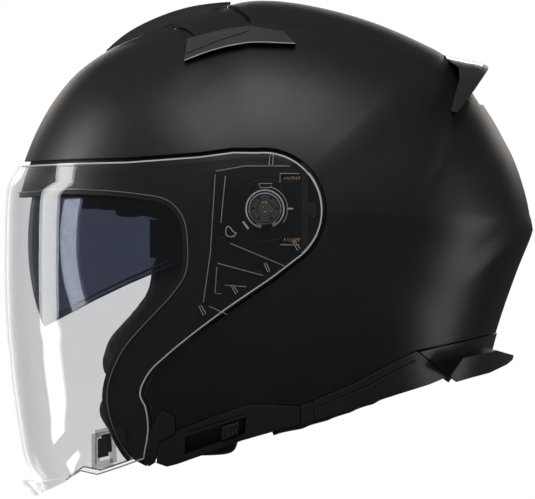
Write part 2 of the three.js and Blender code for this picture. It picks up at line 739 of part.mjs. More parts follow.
function spoilerEgg(depth) {
  return egg((angle) => spoilerProfile.radiusAt(angle) - depth, shellHalfWidth + 3 - depth, { turns: 60 });
}

function lensZone(gap = 0) {
  return box(21 * lengthScale + 2 * gap, 72 + 2 * gap, 60, [115.5 * lengthScale, 0, 84 * heightScale]);
}

const lensThickness = 1.6;

function spoilerBody() {
  const block = spoilerEgg(0).subtract(shellEgg(-clearance)).intersect(prism(spoilerSide));
  const seat = spoilerEgg(-5).subtract(spoilerEgg(lensThickness + clearance)).intersect(lensZone(clearance));
  return block.subtract(seat);
}

function spoilerLens() {
  return spoilerEgg(0).subtract(spoilerEgg(lensThickness)).subtract(shellEgg(-clearance))
    .intersect(prism(spoilerSide)).intersect(lensZone());
}

const grilleZone = (gap) => box(40, 60 + 2 * gap, 11 + 2 * gap, [125 * lengthScale, 0, 66.5 * heightScale]);
const grillePocket = layer(-2, 2.4).intersect(grilleZone(clearance));

function exhaustGrille() {
  return layer(0.6, 2.4 - clearance).intersect(grilleZone(0));
}

// ---------- Chin strap, in a plane that is then tilted back about Y ----------

const strapCentreX = 4;
const strapBottom = -123;

const anchorThickness = 1.6;
const anchorInset = 4; // from the foam's inner face to the middle of the strap's anchor
const tongueEnd = 32;

/** How far the strap's anchor stands from the mid-plane. */
const anchorPlace = side(strapCentreX + 8, -68);
const anchorSide = halfWidthAt(anchorPlace, foamInnerDepth) - anchorInset;

/** The last points of each strap, where the left one meets the buckle and the right one the tongue. */
const strapEnds = {
  left: [[-buckleLength / 2 - 11, strapBottom + 1], [-buckleLength / 2 - clearance, strapBottom]],
  right: [[tongueEnd + 6, strapBottom + 2.6], [tongueEnd + 2 * clearance, strapBottom + 1]],
};

/** A flat strap along a line of y and z points. */
function flatStrap(points, width, thickness, steps = 14) {
  const path = new THREE.CatmullRomCurve3(points.map(([y, z]) => new THREE.Vector3(0, y, z)));
  const corners = [[-1, -1], [1, -1], [1, 1], [-1, 1]];
  const section = new THREE.Shape(
    corners.map(([u, v]) => new THREE.Vector2((u * width) / 2, (v * thickness) / 2)),
  );
  const geometry = new THREE.ExtrudeGeometry(section, { steps, bevelEnabled: false, extrudePath: path });
  return solid(geometry);
}

/** A strap's middle line, from beside its anchor down to its end. */
function strapRun(sign, end) {
  const top = sign * (anchorSide - (anchorThickness + strapThickness) / 2 - 0.4);
  return [
    [top, -70], [top * 0.966, -80], [top * 0.875, -92], [top * 0.77, -102],
    [top * 0.587, strapBottom + 11], ...end,
  ];
}

function buckleBody() {
  const width = strapWidth + 2;
  const body = box(width, buckleLength, buckleHeight, [0, 0, strapBottom]);
  const channel = box(15, buckleLength + 2, tongueThickness + 1.2, [0, 0, strapBottom]);
  const leverRoom = box(width - 6, buckleLength - 8, 2.2, [0, -5, strapBottom - buckleHeight / 2]);
  return body.subtract(channel).subtract(leverRoom);
}

function buckleLever() {
  const plate = box(strapWidth - 5, buckleLength - 10, 2.6, [0, -5, strapBottom - buckleHeight / 2 - 0.5]);
  const tab = box(strapWidth - 8, 5, 2.6, [0, -buckleLength / 2 - 1, strapBottom - buckleHeight / 2 - 1.2]);
  return plate.add(tab);
}

function ratchetTongue() {
  return box(13, 44, tongueThickness, [0, tongueEnd - 22, strapBottom]);
}

function strapAnchor(sign) {
  return box(18, anchorThickness, 14, [anchorPlace.x, sign * anchorSide, anchorPlace.y]);
}

// ---------- Assembly ----------

const finish = {
  mattePaint: { color: 0x232324, roughness: 0.55, metalness: 0 },
  glossBlack: { color: 0x0b0b0c, roughness: 0.15, metalness: 0 },
  satinBlack: { color: 0x1b1b1c, roughness: 0.45, metalness: 0 },
  foam: { color: 0x202022, roughness: 0.95, metalness: 0 },
  fabric: { color: 0x141415, roughness: 0.95, metalness: 0 },
  rubber: { color: 0x101010, roughness: 0.7, metalness: 0 },
  clear: { color: 0xe8ecef, roughness: 0.05, metalness: 0, transparent: true, opacity: 0.3 },
  smoke: { color: 0x222a44, roughness: 0.08, metalness: 0, transparent: true, opacity: 0.8 },
  steel: { color: 0x77777a, roughness: 0.35, metalness: 1 },
  copper: { color: 0xb0713f, roughness: 0.35, metalness: 1 },
  webbing: { color: 0x111112, roughness: 0.9, metalness: 0 },
};

const helmet = new THREE.Group();
const strapPlane = new THREE.Group();
strapPlane.position.set(strapCentreX * lengthScale, 0, -72);
strapPlane.rotation.y = strapTilt;
helmet.add(strapPlane);

/** Adds a solid to the helmet, or to the strap's tilted plane, as a named mesh. */
function place(name, body, look, group = helmet) {
  const mesh = body.getMesh();
  const geometry = new THREE.BufferGeometry();
  const corners = [];
  for (let i = 0; i < mesh.numVert; i += 1) {
    corners.push(...mesh.vertProperties.slice(i * mesh.numProp, i * mesh.numProp + 3));
  }
  geometry.setAttribute('position', new THREE.Float32BufferAttribute(corners, 3));
  geometry.setIndex([...mesh.triVerts]);
  if (group === strapPlane) geometry.translate(0, 0, 72);
  geometry.computeVertexNormals();
  const piece = new THREE.Mesh(geometry, new THREE.MeshStandardMaterial(finish[look]));
  piece.name = name;
  group.add(piece);
}

place('outer_shell', outerShell(), 'mattePaint');
place('foam_liner', foamLiner(), 'foam');
place('crown_liner', crownLiner(), 'fabric');
place('neck_roll', neckRoll(), 'fabric');
place('eye_gasket', eyeGasket(), 'rubber');
place('clear_visor', clearVisor(), 'clear');
place('sun_visor', sunVisor(), 'smoke');
place('slider_housing_left', sliderHousing(), 'satinBlack');
place('side_trim_right', lowerTrim(sliderSide, 'right'), 'satinBlack');
place('sun_visor_knob', sunKnob(), 'satinBlack');
place('neck_piece', neckPiece(), 'satinBlack');
place('vent_ridge', ventRidge(), 'glossBlack');
place('vent_shutter', ventShutter(), 'mattePaint');
place('spoiler_body', spoilerBody(), 'satinBlack');
place('spoiler_lens', spoilerLens(), 'smoke');
place('exhaust_grille', exhaustGrille(), 'satinBlack');
place('control_cable', rod(cablePath, cableRadius), 'rubber');

for (const which of ['left', 'right']) {
  place(`cheek_pad_${which}`, cheekPad(which), 'fabric');
  place(`pivot_base_${which}`, pivotBase(which), 'satinBlack');
  place(`pivot_hub_${which}`, pivotHub(which), 'satinBlack');
  place(`pivot_bolt_${which}`, pivotBolt(which), 'steel');
  place(`visor_release_${which}`, releaseCatch(which), 'satinBlack');
  place(`release_spring_upper_${which}`, catchSpring(which, springHeights[0]), 'copper');
  place(`release_spring_lower_${which}`, catchSpring(which, springHeights[1]), 'copper');
  place(`visor_latch_${which}`, latch(which), 'satinBlack');
  place(`latch_frame_${which}`, latchFrame(which), 'clear');
  place(`latch_post_${which}`, latchPost(which), 'satinBlack');
  place(`sun_visor_pin_${which}`, sunPin(which), 'steel');
  place(`front_cap_${which}`, lowerTrim(frontCapSide, which), 'satinBlack');
  place(`joint_clip_${which}`, jointClip(which), 'satinBlack');
  place(`rear_trim_${which}`, lowerTrim(rearTrimSide, which), 'satinBlack');
  place(`vent_wing_${which}`, ventWing(which), 'glossBlack');
  place(`strap_anchor_${which}`, strapAnchor(signs[which]), 'steel');
  const run = strapRun(signs[which], strapEnds[which]);
  place(`strap_${which}`, flatStrap(run, strapWidth, strapThickness), 'webbing', strapPlane);
}

place('buckle_body', buckleBody(), 'steel', strapPlane);
place('buckle_lever', buckleLever(), 'steel', strapPlane);
place('ratchet_tongue', ratchetTongue(), 'satinBlack', strapPlane);

export default helmet;
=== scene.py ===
"""Looks of an open face motorcycle helmet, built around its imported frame.

Shapes are worked out in millimetres and become metres when a piece is made. The front is -X, the
wearer's left is -Y and +Z is up. Outlines are drawn in the side view, as x and z, and the shell's
every section away from the mid-plane is a smaller copy of the one on it.
"""

import json
import logging
import math
from dataclasses import dataclass, field
from enum import Enum
from typing import Callable, Iterable, Sequence

import bmesh
import bpy
import numpy as np
from mathutils import Vector
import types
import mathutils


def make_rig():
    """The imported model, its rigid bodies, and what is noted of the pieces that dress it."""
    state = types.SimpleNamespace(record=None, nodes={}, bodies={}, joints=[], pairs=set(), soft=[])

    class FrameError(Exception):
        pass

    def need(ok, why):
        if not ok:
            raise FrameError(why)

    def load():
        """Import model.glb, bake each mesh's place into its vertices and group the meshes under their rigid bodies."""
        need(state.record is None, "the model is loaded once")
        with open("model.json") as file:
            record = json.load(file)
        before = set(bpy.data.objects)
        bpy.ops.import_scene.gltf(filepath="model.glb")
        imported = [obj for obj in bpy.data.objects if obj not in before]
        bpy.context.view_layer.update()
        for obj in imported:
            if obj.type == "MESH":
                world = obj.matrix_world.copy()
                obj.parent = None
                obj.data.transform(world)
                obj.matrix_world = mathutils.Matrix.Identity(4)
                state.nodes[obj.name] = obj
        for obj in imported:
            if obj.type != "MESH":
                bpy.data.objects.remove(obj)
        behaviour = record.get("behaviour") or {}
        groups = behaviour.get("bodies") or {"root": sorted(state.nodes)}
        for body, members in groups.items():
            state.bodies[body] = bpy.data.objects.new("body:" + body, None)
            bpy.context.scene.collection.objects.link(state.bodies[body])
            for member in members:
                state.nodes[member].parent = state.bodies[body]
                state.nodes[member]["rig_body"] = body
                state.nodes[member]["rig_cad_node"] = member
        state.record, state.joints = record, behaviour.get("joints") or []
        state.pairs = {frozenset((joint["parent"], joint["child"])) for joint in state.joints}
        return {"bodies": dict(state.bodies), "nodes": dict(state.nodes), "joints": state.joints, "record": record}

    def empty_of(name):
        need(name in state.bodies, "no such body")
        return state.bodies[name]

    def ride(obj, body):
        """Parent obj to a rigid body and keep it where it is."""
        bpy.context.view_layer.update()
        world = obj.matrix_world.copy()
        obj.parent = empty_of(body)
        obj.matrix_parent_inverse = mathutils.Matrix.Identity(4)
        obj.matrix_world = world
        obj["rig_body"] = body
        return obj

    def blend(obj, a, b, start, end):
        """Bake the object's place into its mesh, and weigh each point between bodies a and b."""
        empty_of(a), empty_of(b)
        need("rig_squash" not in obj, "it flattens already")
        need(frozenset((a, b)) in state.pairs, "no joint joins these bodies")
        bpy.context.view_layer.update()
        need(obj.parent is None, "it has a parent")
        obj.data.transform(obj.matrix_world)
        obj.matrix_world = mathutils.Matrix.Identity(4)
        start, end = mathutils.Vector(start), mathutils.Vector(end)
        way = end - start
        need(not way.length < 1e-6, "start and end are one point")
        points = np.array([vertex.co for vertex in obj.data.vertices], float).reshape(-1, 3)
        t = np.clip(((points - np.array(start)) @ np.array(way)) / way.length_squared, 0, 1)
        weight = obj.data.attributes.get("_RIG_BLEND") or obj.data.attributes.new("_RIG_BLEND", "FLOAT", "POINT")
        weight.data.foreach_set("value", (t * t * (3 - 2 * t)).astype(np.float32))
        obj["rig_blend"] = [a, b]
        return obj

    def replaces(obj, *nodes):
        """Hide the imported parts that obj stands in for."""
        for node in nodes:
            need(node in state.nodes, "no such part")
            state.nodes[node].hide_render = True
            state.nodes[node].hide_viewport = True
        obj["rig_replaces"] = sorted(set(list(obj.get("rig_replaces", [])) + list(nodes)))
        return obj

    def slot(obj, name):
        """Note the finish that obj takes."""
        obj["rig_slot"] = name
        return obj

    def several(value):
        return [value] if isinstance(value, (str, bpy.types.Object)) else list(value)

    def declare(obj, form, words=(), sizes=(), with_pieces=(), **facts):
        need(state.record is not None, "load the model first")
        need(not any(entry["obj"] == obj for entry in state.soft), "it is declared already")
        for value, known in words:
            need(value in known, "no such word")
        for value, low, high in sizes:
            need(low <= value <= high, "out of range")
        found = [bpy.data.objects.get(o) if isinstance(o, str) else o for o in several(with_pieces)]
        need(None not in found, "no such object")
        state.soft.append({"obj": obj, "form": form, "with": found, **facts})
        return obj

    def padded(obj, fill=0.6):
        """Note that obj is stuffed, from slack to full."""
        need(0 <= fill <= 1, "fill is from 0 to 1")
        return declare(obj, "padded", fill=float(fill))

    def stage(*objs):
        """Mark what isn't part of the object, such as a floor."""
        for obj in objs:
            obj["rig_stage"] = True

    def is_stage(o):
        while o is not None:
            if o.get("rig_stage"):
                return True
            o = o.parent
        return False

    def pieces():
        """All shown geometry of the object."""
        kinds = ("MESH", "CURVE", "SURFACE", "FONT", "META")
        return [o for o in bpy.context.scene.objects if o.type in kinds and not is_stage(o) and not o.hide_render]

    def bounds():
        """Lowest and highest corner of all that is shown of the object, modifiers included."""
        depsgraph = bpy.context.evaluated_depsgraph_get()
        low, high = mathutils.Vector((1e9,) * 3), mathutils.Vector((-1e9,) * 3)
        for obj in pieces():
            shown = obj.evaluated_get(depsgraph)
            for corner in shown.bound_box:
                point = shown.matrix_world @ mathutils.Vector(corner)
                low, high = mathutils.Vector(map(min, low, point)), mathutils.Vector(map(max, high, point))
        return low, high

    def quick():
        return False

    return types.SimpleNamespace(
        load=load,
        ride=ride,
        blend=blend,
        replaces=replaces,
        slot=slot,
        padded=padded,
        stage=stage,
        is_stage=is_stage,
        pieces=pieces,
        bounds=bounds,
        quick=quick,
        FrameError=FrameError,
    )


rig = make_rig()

LOG = logging.getLogger("helmet")

Pair = tuple[float, float]
Outline = list[Pair]

MILLIMETRE = 0.001
SQUARENESS = 2.25
SHELL_HALF_WIDTH = 125.0
SHELL_WALL = 4.0
POCKET_DEPTH = 3.5
POCKET_WALL = 3.0
POCKET_MARGIN = 2.5
VISOR_WALL = 1.9
VISOR_GAP = 0.8
CLEARANCE = 0.3
TRIM_PROUD = 0.8
TRIM_DEPTH = 11.0
WIDE = 200.0
SIZE_FILE = "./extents.json"


class Side(Enum):
    """The helmet's two sides, with the sign of y on each."""

    LEFT = -1
    RIGHT = 1

    @property
    def word(self) -> str:
        """The side's name as node names have it."""
        return self.name.lower()


class Join(Enum):
    """How one solid is put together with another."""

    CUT = "DIFFERENCE"
    ADD = "UNION"
    KEEP = "INTERSECT"


# ---------------------------------------------------------------- outlines


def curve_through(points: Sequence[Pair], closed: bool = False, steps: int = 8) -> Outline:
    """A smooth line through side-view points.

    Args:
        points: The points that the line passes through.
        closed: Whether the line runs back to its first point.
        steps: How many pieces lie between two points.

    Returns:
        The line's points.
    """
    pts = [np.array(p, float) for p in points]
    count = len(pts)
    if closed:
        padded = [pts[-1], *pts, pts[0], pts[1]]
    else:
        padded = [2 * pts[0] - pts[1], *pts, 2 * pts[-1] - pts[-2]]
    line: Outline = []
    for i in range(count if closed else count - 1):
        a, b, c, d = padded[i : i + 4]
        gaps = [max(np.linalg.norm(q - p) ** 0.5, 1e-4) for p, q in ((a, b), (b, c), (c, d))]
        t1 = (b - a) / gaps[0] - (c - a) / (gaps[0] + gaps[1]) + (c - b) / gaps[1]
        t2 = (c - b) / gaps[1] - (d - b) / (gaps[1] + gaps[2]) + (d - c) / gaps[2]
        t1, t2 = t1 * gaps[1], t2 * gaps[1]
        for k in range(steps):
            u = k / steps
            at = (
                b
                + t1 * u
                + (-3 * b + 3 * c - 2 * t1 - t2) * u**2
                + (2 * b - 2 * c + t1 + t2) * u**3
            )
            line.append((float(at[0]), float(at[1])))
    if not closed:
        line.append(tuple(map(float, pts[-1])))
    return line


def area(outline: Sequence[Pair]) -> float:
    """The signed area of a closed outline."""
    pts = np.array(outline, float)
    nxt = np.roll(pts, -1, axis=0)
    return float(np.sum(pts[:, 0] * nxt[:, 1] - nxt[:, 0] * pts[:, 1]) / 2)


def grow(outline: Sequence[Pair], distance: float) -> Outline:
    """Moves every point of a closed outline outwards."""
    turn = math.copysign(1.0, area(outline))
    pts = np.array(outline, float)
    along = np.roll(pts, -1, axis=0) - np.roll(pts, 1, axis=0)
    along /= np.linalg.norm(along, axis=1, keepdims=True)
    moved = pts + turn * distance * np.stack([along[:, 1], -along[:, 0]], axis=1)
    return [tuple(p) for p in moved.tolist()]


def ribbon(line: Sequence[Pair], near: float, far: float) -> Outline:
    """The band between two copies of an open line, each moved to its right by a distance."""
    pts = np.array(line, float)
    along = np.gradient(pts, axis=0)
    along /= np.maximum(np.linalg.norm(along, axis=1, keepdims=True), 1e-9)
    right = np.stack([along[:, 1], -along[:, 0]], axis=1)
    return [tuple(p) for p in [*(pts + near * right).tolist(), *(pts + far * right)[::-1].tolist()]]


def stroke(line: Sequence[Pair], width: float) -> Outline:
    """The band of a width that lies evenly on both sides of an open line."""
    return ribbon(line, -width / 2, width / 2)


def arc(centre: Pair, radius: float, start: float, end: float, steps: int = 24) -> Outline:
    """Points of a round arc in the side view, between two angles in degrees."""
    turns = np.radians(np.linspace(start, end, steps + 1))
    return [
        (centre[0] + radius * math.cos(t), centre[1] + radius * math.sin(t)) for t in turns
    ]


class Profile:
    """The shell's outline on the mid-plane, as a radius against an angle from the front upwards."""

    def __init__(self, points: Sequence[Pair]) -> None:
        """Reads the outline.

        Args:
            points: A closed outline round the origin.
        """
        line = np.array(curve_through(points, closed=True, steps=24))
        angle = np.mod(np.arctan2(line[:, 1], -line[:, 0]), 2 * math.pi)
        order = np.argsort(angle)
        self.angle = angle[order]
        self.reach = np.hypot(line[:, 0], line[:, 1])[order]

    def __call__(self, angle: np.ndarray | float) -> np.ndarray:
        """The radius at an angle or at each of several."""
        return np.interp(np.mod(angle, 2 * math.pi), self.angle, self.reach, period=2 * math.pi)


SHELL_PROFILE = Profile(
    [
        (-146.5, 0), (-144.6, 12), (-140.4, 25.3), (-132.8, 44.5), (-122.4, 63), (-108.5, 79.5),
        (-90, 92.5), (-72, 100.5), (-53.4, 107.5), (-37, 113.3), (-24, 117.6), (-8, 120.5),
        (14.5, 119.3), (40.6, 114.1), (66.7, 106), (92.8, 94.4), (102.5, 89), (113, 78.8),
        (120.5, 68.5), (126.4, 59), (132.8, 49.7), (143.3, 31.1), (149.9, 12.6), (152.9, 0),
        (153.7, -7), (152.5, -14), (147.3, -29.2), (141.5, -47.7), (134, -70.9), (124.9, -104.8),
        (111.2, -132.5), (91, -157.6), (64.3, -176.7), (33.9, -192), (0, -200), (-35.9, -203.9),
        (-72.5, -199.2), (-106, -183.6), (-119.9, -170.6), (-129.8, -154.7), (-139.7, -125.8),
        (-143, -107.7), (-145.9, -84.3), (-147.5, -53.7), (-148.2, -23.5),
    ]
)
VISOR_FRONT = Profile(
    [
        (-60, 18), (-100, 22), (-141, 24.5), (-147, 18.7), (-149.3, 15.5), (-150.8, 5),
        (-151.5, -24.5), (-151.1, -54), (-148.8, -86.4), (-143, -127.8), (-139.1, -146.9),
        (-136, -153.5), (-131, -160), (-125, -172.5), (-111, -192.3), (-78.7, -216), (-40, -228),
        (20, -150), (20, -20),
    ]
)
RIDGE_PROFILE = Profile(
    [
        (-146.5, 0), (-140.4, 25.3), (-122.4, 63), (-104, 83.2), (-92.8, 91.8), (-86.4, 97.6),
        (-78.3, 103.6), (-63.8, 111.0), (-46.4, 117), (-29, 119.9), (-8, 120.7), (14.5, 119.3),
        (92.8, 94.4), (152, 0), (111.2, -132.5), (0, -200), (-106, -183.6), (-145.9, -84.3),
    ]
)
SPOILER_PROFILE = Profile(
    [
        (-146.5, 0), (-90, 92.5), (-8, 120.5), (66.7, 106), (92.8, 94.4), (101.5, 90.3),
        (115.5, 86.9), (129.4, 83.3), (152, 62), (154, 0), (111.2, -132.5), (0, -200),
        (-106, -183.6), (-145.9, -84.3),
    ]
)

VISOR_SIDE: Outline = [
    (-200, 25.3), (-140.4, 25.3), (-110, 26.5), (-78.3, 27.1), (-37.7, 30), (-18, 32.6),
    *arc((-0.8, -1), 33.6, 96, -56, 40),
    *curve_through(
        [
            (4, -39.6), (-26.1, -60.3), (-56, -83.9), (-66.5, -94.5), (-71.1, -105.9),
            (-68, -113.5), (-66.6, -126.6), (-69.3, -143.2),
        ]
    ),
    (-82.5, -148.1), (-96.3, -152.7), (-106, -150.6), (-114.4, -156.2), (-200, -160),
]
EYE_EDGE: Outline = curve_through(
    [
        (-160, 9.8), (-138.9, 10.3), (-115.4, 12), (-72.5, 9.1), (-55, 5), (-46.4, -5),
        (-43.9, -20), (-45, -36.4), (-52, -48), (-68.6, -66), (-80.4, -79.8), (-88.2, -96),
        (-90.2, -108), (-87.6, -122.5), (-81.5, -136), (-75.6, -143.3), (-67, -148),
    ]
)
LOWER_EDGE: Outline = [
    (170, -71.2), (134.6, -71.2), (86.1, -81.1), (49.9, -99.9), (21, -112.2), (-9.3, -111.8),
    (-29.6, -118.2), (-50.9, -126.7), (-51.6, -118.4), (-58.8, -114.6), (-61.2, -117.6),
    (-65.7, -126.6), (-68.3, -143.2), (-67.5, -150),
]


# ---------------------------------------------------------------- solids


class Solid:
    """A closed body in millimetres that can be cut and joined with others."""

    def __init__(self, verts: Iterable[Sequence[float]], faces: Iterable[Sequence[int]]) -> None:
        """Makes the body and turns its faces outwards.

        Args:
            verts: Points, in millimetres.
            faces: Lists of point numbers, all turning the same way.
        """
        self.mesh = bpy.data.meshes.new("solid")
        self.mesh.from_pydata([tuple(map(float, v)) for v in verts], [], [tuple(f) for f in faces])
        shape = bmesh.new()
        shape.from_mesh(self.mesh)
        if shape.calc_volume(signed=True) < 0:
            bmesh.ops.reverse_faces(shape, faces=shape.faces)
        shape.to_mesh(self.mesh)
        shape.free()

    @classmethod
    def of(cls, mesh: bpy.types.Mesh) -> "Solid":
        """Wraps a mesh that is already in millimetres and points outwards."""
        made = cls.__new__(cls)
        made.mesh = mesh
        return made

    def _with(self, other: "Solid", join: Join) -> "Solid":
        """Puts two bodies together and gives the result as a new one."""
        scene = bpy.context.scene.collection
        body = bpy.data.objects.new("body", self.mesh)
        tool = bpy.data.objects.new("tool", other.mesh)
        scene.objects.link(body)
        scene.objects.link(tool)
        cut = body.modifiers.new("cut", "BOOLEAN")
        cut.operation = join.value
        cut.solver = "MANIFOLD"
        cut.object = tool
        depsgraph = bpy.context.evaluated_depsgraph_get()
        mesh = bpy.data.meshes.new_from_object(body.evaluated_get(depsgraph))
        bpy.data.objects.remove(body)
        bpy.data.objects.remove(tool)
        return Solid.of(mesh)

    def __sub__(self, other: "Solid") -> "Solid":
        """What is left when the other body is cut away."""
        return self._with(other, Join.CUT)

    def __add__(self, other: "Solid") -> "Solid":
        """Both bodies as one."""
        return self._with(other, Join.ADD)

    def __and__(self, other: "Solid") -> "Solid":
        """What the two bodies share."""
        return self._with(other, Join.KEEP)

    def tilted(self, degrees: float, about: Sequence[float]) -> "Solid":
        """A copy turned about the Y axis through a point."""
        mesh = self.mesh.copy()
        turn = math.radians(degrees)
        pivot = np.array(about, float)
        at = np.array([v.co for v in mesh.vertices]) - pivot
        spun = at.copy()
        spun[:, 0] = at[:, 0] * math.cos(turn) + at[:, 2] * math.sin(turn)
        spun[:, 2] = -at[:, 0] * math.sin(turn) + at[:, 2] * math.cos(turn)
        mesh.vertices.foreach_set("co", (spun + pivot).ravel())
        mesh.update()
        return Solid.of(mesh)


def prism(outline: Sequence[Pair], low: float = -WIDE, high: float = WIDE) -> Solid:
    """A solid with a side-view outline, from one y to another."""
    count = len(outline)
    verts = [(x, low, z) for x, z in outline] + [(x, high, z) for x, z in outline]
    faces = [tuple(range(count)), tuple(range(2 * count - 1, count - 1, -1))]
    faces += [
        ((i + 1) % count, i, count + i, count + (i + 1) % count) for i in range(count)
    ]
    return Solid(verts, faces)


def column(outline: Sequence[Pair], low: float, high: float) -> Solid:
    """A solid with a plan-view outline of x and y, from one z to another."""
    count = len(outline)
    verts = [(x, y, low) for x, y in outline] + [(x, y, high) for x, y in outline]
    faces = [tuple(range(count)), tuple(range(2 * count - 1, count - 1, -1))]
    faces += [
        ((i + 1) % count, i, count + i, count + (i + 1) % count) for i in range(count)
    ]
    return Solid(verts, faces)


def block(size: Sequence[float], at: Sequence[float] = (0, 0, 0)) -> Solid:
    """A box of a size about a point."""
    x, y, z = (s / 2 for s in size)
    return Solid(
        [
            (at[0] + i * x, at[1] + j * y, at[2] + k * z)
        for i in (-1, 1) for j in (-1, 1) for k in (-1, 1)
        ],
        [(0, 1, 3, 2), (4, 6, 7, 5), (0, 4, 5, 1), (2, 3, 7, 6), (0, 2, 6, 4), (1, 5, 7, 3)],
    )


def pin(radius: float, low: float, high: float, at: Pair = (0, 0), sides: int = 48) -> Solid:
    """A cylinder along Y between two y values."""
    return prism(arc(at, radius, 0, 360, sides)[:-1], min(low, high), max(low, high))


def egg(
    radius: Callable[[np.ndarray], np.ndarray],
    half_width: float,
    centre: Pair = (0, 0),
    turns: int = 144,
    rings: int = 56,
    relief: Callable[[np.ndarray], np.ndarray] | None = None,
) -> Solid:
    """A closed egg round a side-view outline, ending in a pole on each side.

    Args:
        radius: The outline's radius at an angle.
        half_width: How far each pole stands from the mid-plane.
        centre: The point that the outline runs round, in the side view.
        turns: Faces round the outline.
        rings: Faces from pole to pole.
        relief: How far each point is pushed out along the surface's normal.

    Returns:
        The egg.
    """
    power = 2 / SQUARENESS
    lean = np.linspace(-math.pi / 2, math.pi / 2, rings + 1)[1:-1, None]
    angle = np.linspace(0, 2 * math.pi, turns, endpoint=False)[None, :]
    flat = np.cos(lean) ** power
    out = half_width * np.sign(np.sin(lean)) * np.abs(np.sin(lean)) ** power
    reach = radius(angle[0])[None, :]
    grid = np.stack(
        np.broadcast_arrays(
            centre[0] - flat * reach * np.cos(angle),
            out,
            centre[1] + flat * reach * np.sin(angle),
        ),
        axis=-1,
    )
    if relief is not None:
        along = np.roll(grid, -1, axis=1) - np.roll(grid, 1, axis=1)
        up = np.gradient(grid, axis=0)
        normal = np.cross(up, along)
        normal /= np.maximum(np.linalg.norm(normal, axis=-1, keepdims=True), 1e-9)
        middle = np.array([centre[0], 0.0, centre[1]])
        facing = np.sum(normal * (grid - middle), axis=-1, keepdims=True)
        normal *= np.sign(facing)
        grid = grid + normal * relief(grid)[..., None]
    verts = [*grid.reshape(-1, 3).tolist()]
    low, high = len(verts), len(verts) + 1
    verts += [(centre[0], -half_width, centre[1]), (centre[0], half_width, centre[1])]
    faces: list[tuple[int, ...]] = []
    rows = rings - 1
    for i in range(rows - 1):
        for j in range(turns):
            k = (j + 1) % turns
            faces.append((i * turns + j, i * turns + k, (i + 1) * turns + k, (i + 1) * turns + j))
    for j in range(turns):
        k = (j + 1) % turns
        faces.append((low, k, j))
        faces.append((high, (rows - 1) * turns + j, (rows - 1) * turns + k))
    return Solid(verts, faces)


_KEPT: dict[str, Solid] = {}


def shell_egg(depth: float) -> Solid:
    """The shell's egg at a depth below its painted surface."""
    key = f"shell {depth}"
    if key not in _KEPT:
        _KEPT[key] = egg(lambda a: SHELL_PROFILE(a) - depth, SHELL_HALF_WIDTH - depth)
    return _KEPT[key]


def visor_egg(depth: float) -> Solid:
    """The clear visor's egg at a depth below its own outer face."""
    key = f"visor {depth}"
    inside = VISOR_GAP + VISOR_WALL
    if key not in _KEPT:
        _KEPT[key] = egg(
            lambda a: np.maximum(SHELL_PROFILE(a) + inside, VISOR_FRONT(a)) - depth,
            SHELL_HALF_WIDTH + inside - depth,
            turns=192,
            rings=80,
        )
    return _KEPT[key]


def layer(outer: float, inner: float) -> Solid:
    """What lies between two depths below the painted surface."""
    key = f"layer {outer} {inner}"
    if key not in _KEPT:
        _KEPT[key] = shell_egg(outer) - shell_egg(inner)
    return _KEPT[key]


def half(side: Side) -> Solid:
    """Everything on one side of the mid-plane."""
    return block((4 * WIDE, 2 * WIDE, 4 * WIDE), (0, side.value * (WIDE + CLEARANCE / 2), 0))


def plate(outline: Sequence[Pair], outer: float, inner: float, side: Side) -> Solid:
    """A piece that follows the shell between two depths, on one side."""
    span = (0.0, WIDE) if side is Side.RIGHT else (-WIDE, 0.0)
    return layer(outer, inner) & prism(outline, *span)


def plate_of_visor(outline: Sequence[Pair], side: Side) -> Solid:
    """A piece of the clear visor's own sheet, on one side."""
    span = (0.0, WIDE) if side is Side.RIGHT else (-WIDE, 0.0)
    return (visor_egg(-0.06) - visor_egg(0.7)) & prism(outline, *span)


def half_width_at(x: float, z: float, depth: float = 0.0) -> float:
    """How far the shell's egg at a depth stands out sideways at a side-view point."""
    reach = math.hypot(x, z) / (float(SHELL_PROFILE(math.atan2(z, -x))) - depth)
    return (SHELL_HALF_WIDTH - depth) * max(1 - reach**SQUARENESS, 0) ** (1 / SQUARENESS)


# ---------------------------------------------------------------- shader maths


class Value:
    """A socket that takes part in arithmetic."""

    def __init__(self, shader: "Shader", socket: bpy.types.NodeSocket) -> None:
        """Wraps a node's output."""
        self.shader = shader
        self.socket = socket

    def _math(self, operation: str, first: object, second: object = 0.0) -> "Value":
        """Adds one Math node."""
        node = self.shader.node("ShaderNodeMath", {"operation": operation}, {0: first, 1: second})
        return Value(self.shader, node.outputs[0])

    def __add__(self, other: object) -> "Value":
        """The sum."""
        return self._math("ADD", self, other)

    def __mul__(self, other: object) -> "Value":
        """The product."""
        return self._math("MULTIPLY", self, other)

    def __sub__(self, other: object) -> "Value":
        """The difference."""
        return self._math("SUBTRACT", self, other)

    def __rsub__(self, other: object) -> "Value":
        """The difference from a number."""
        return self._math("SUBTRACT", other, self)

    def __pow__(self, other: object) -> "Value":
        """The power."""
        return self._math("POWER", self, other)

    __radd__ = __add__
    __rmul__ = __mul__

    def above(self, level: float) -> "Value":
        """One where the value is over a level, and nought elsewhere."""
        return self._math("GREATER_THAN", self, level)

    def sine(self) -> "Value":
        """The sine."""
        return self._math("SINE", self)


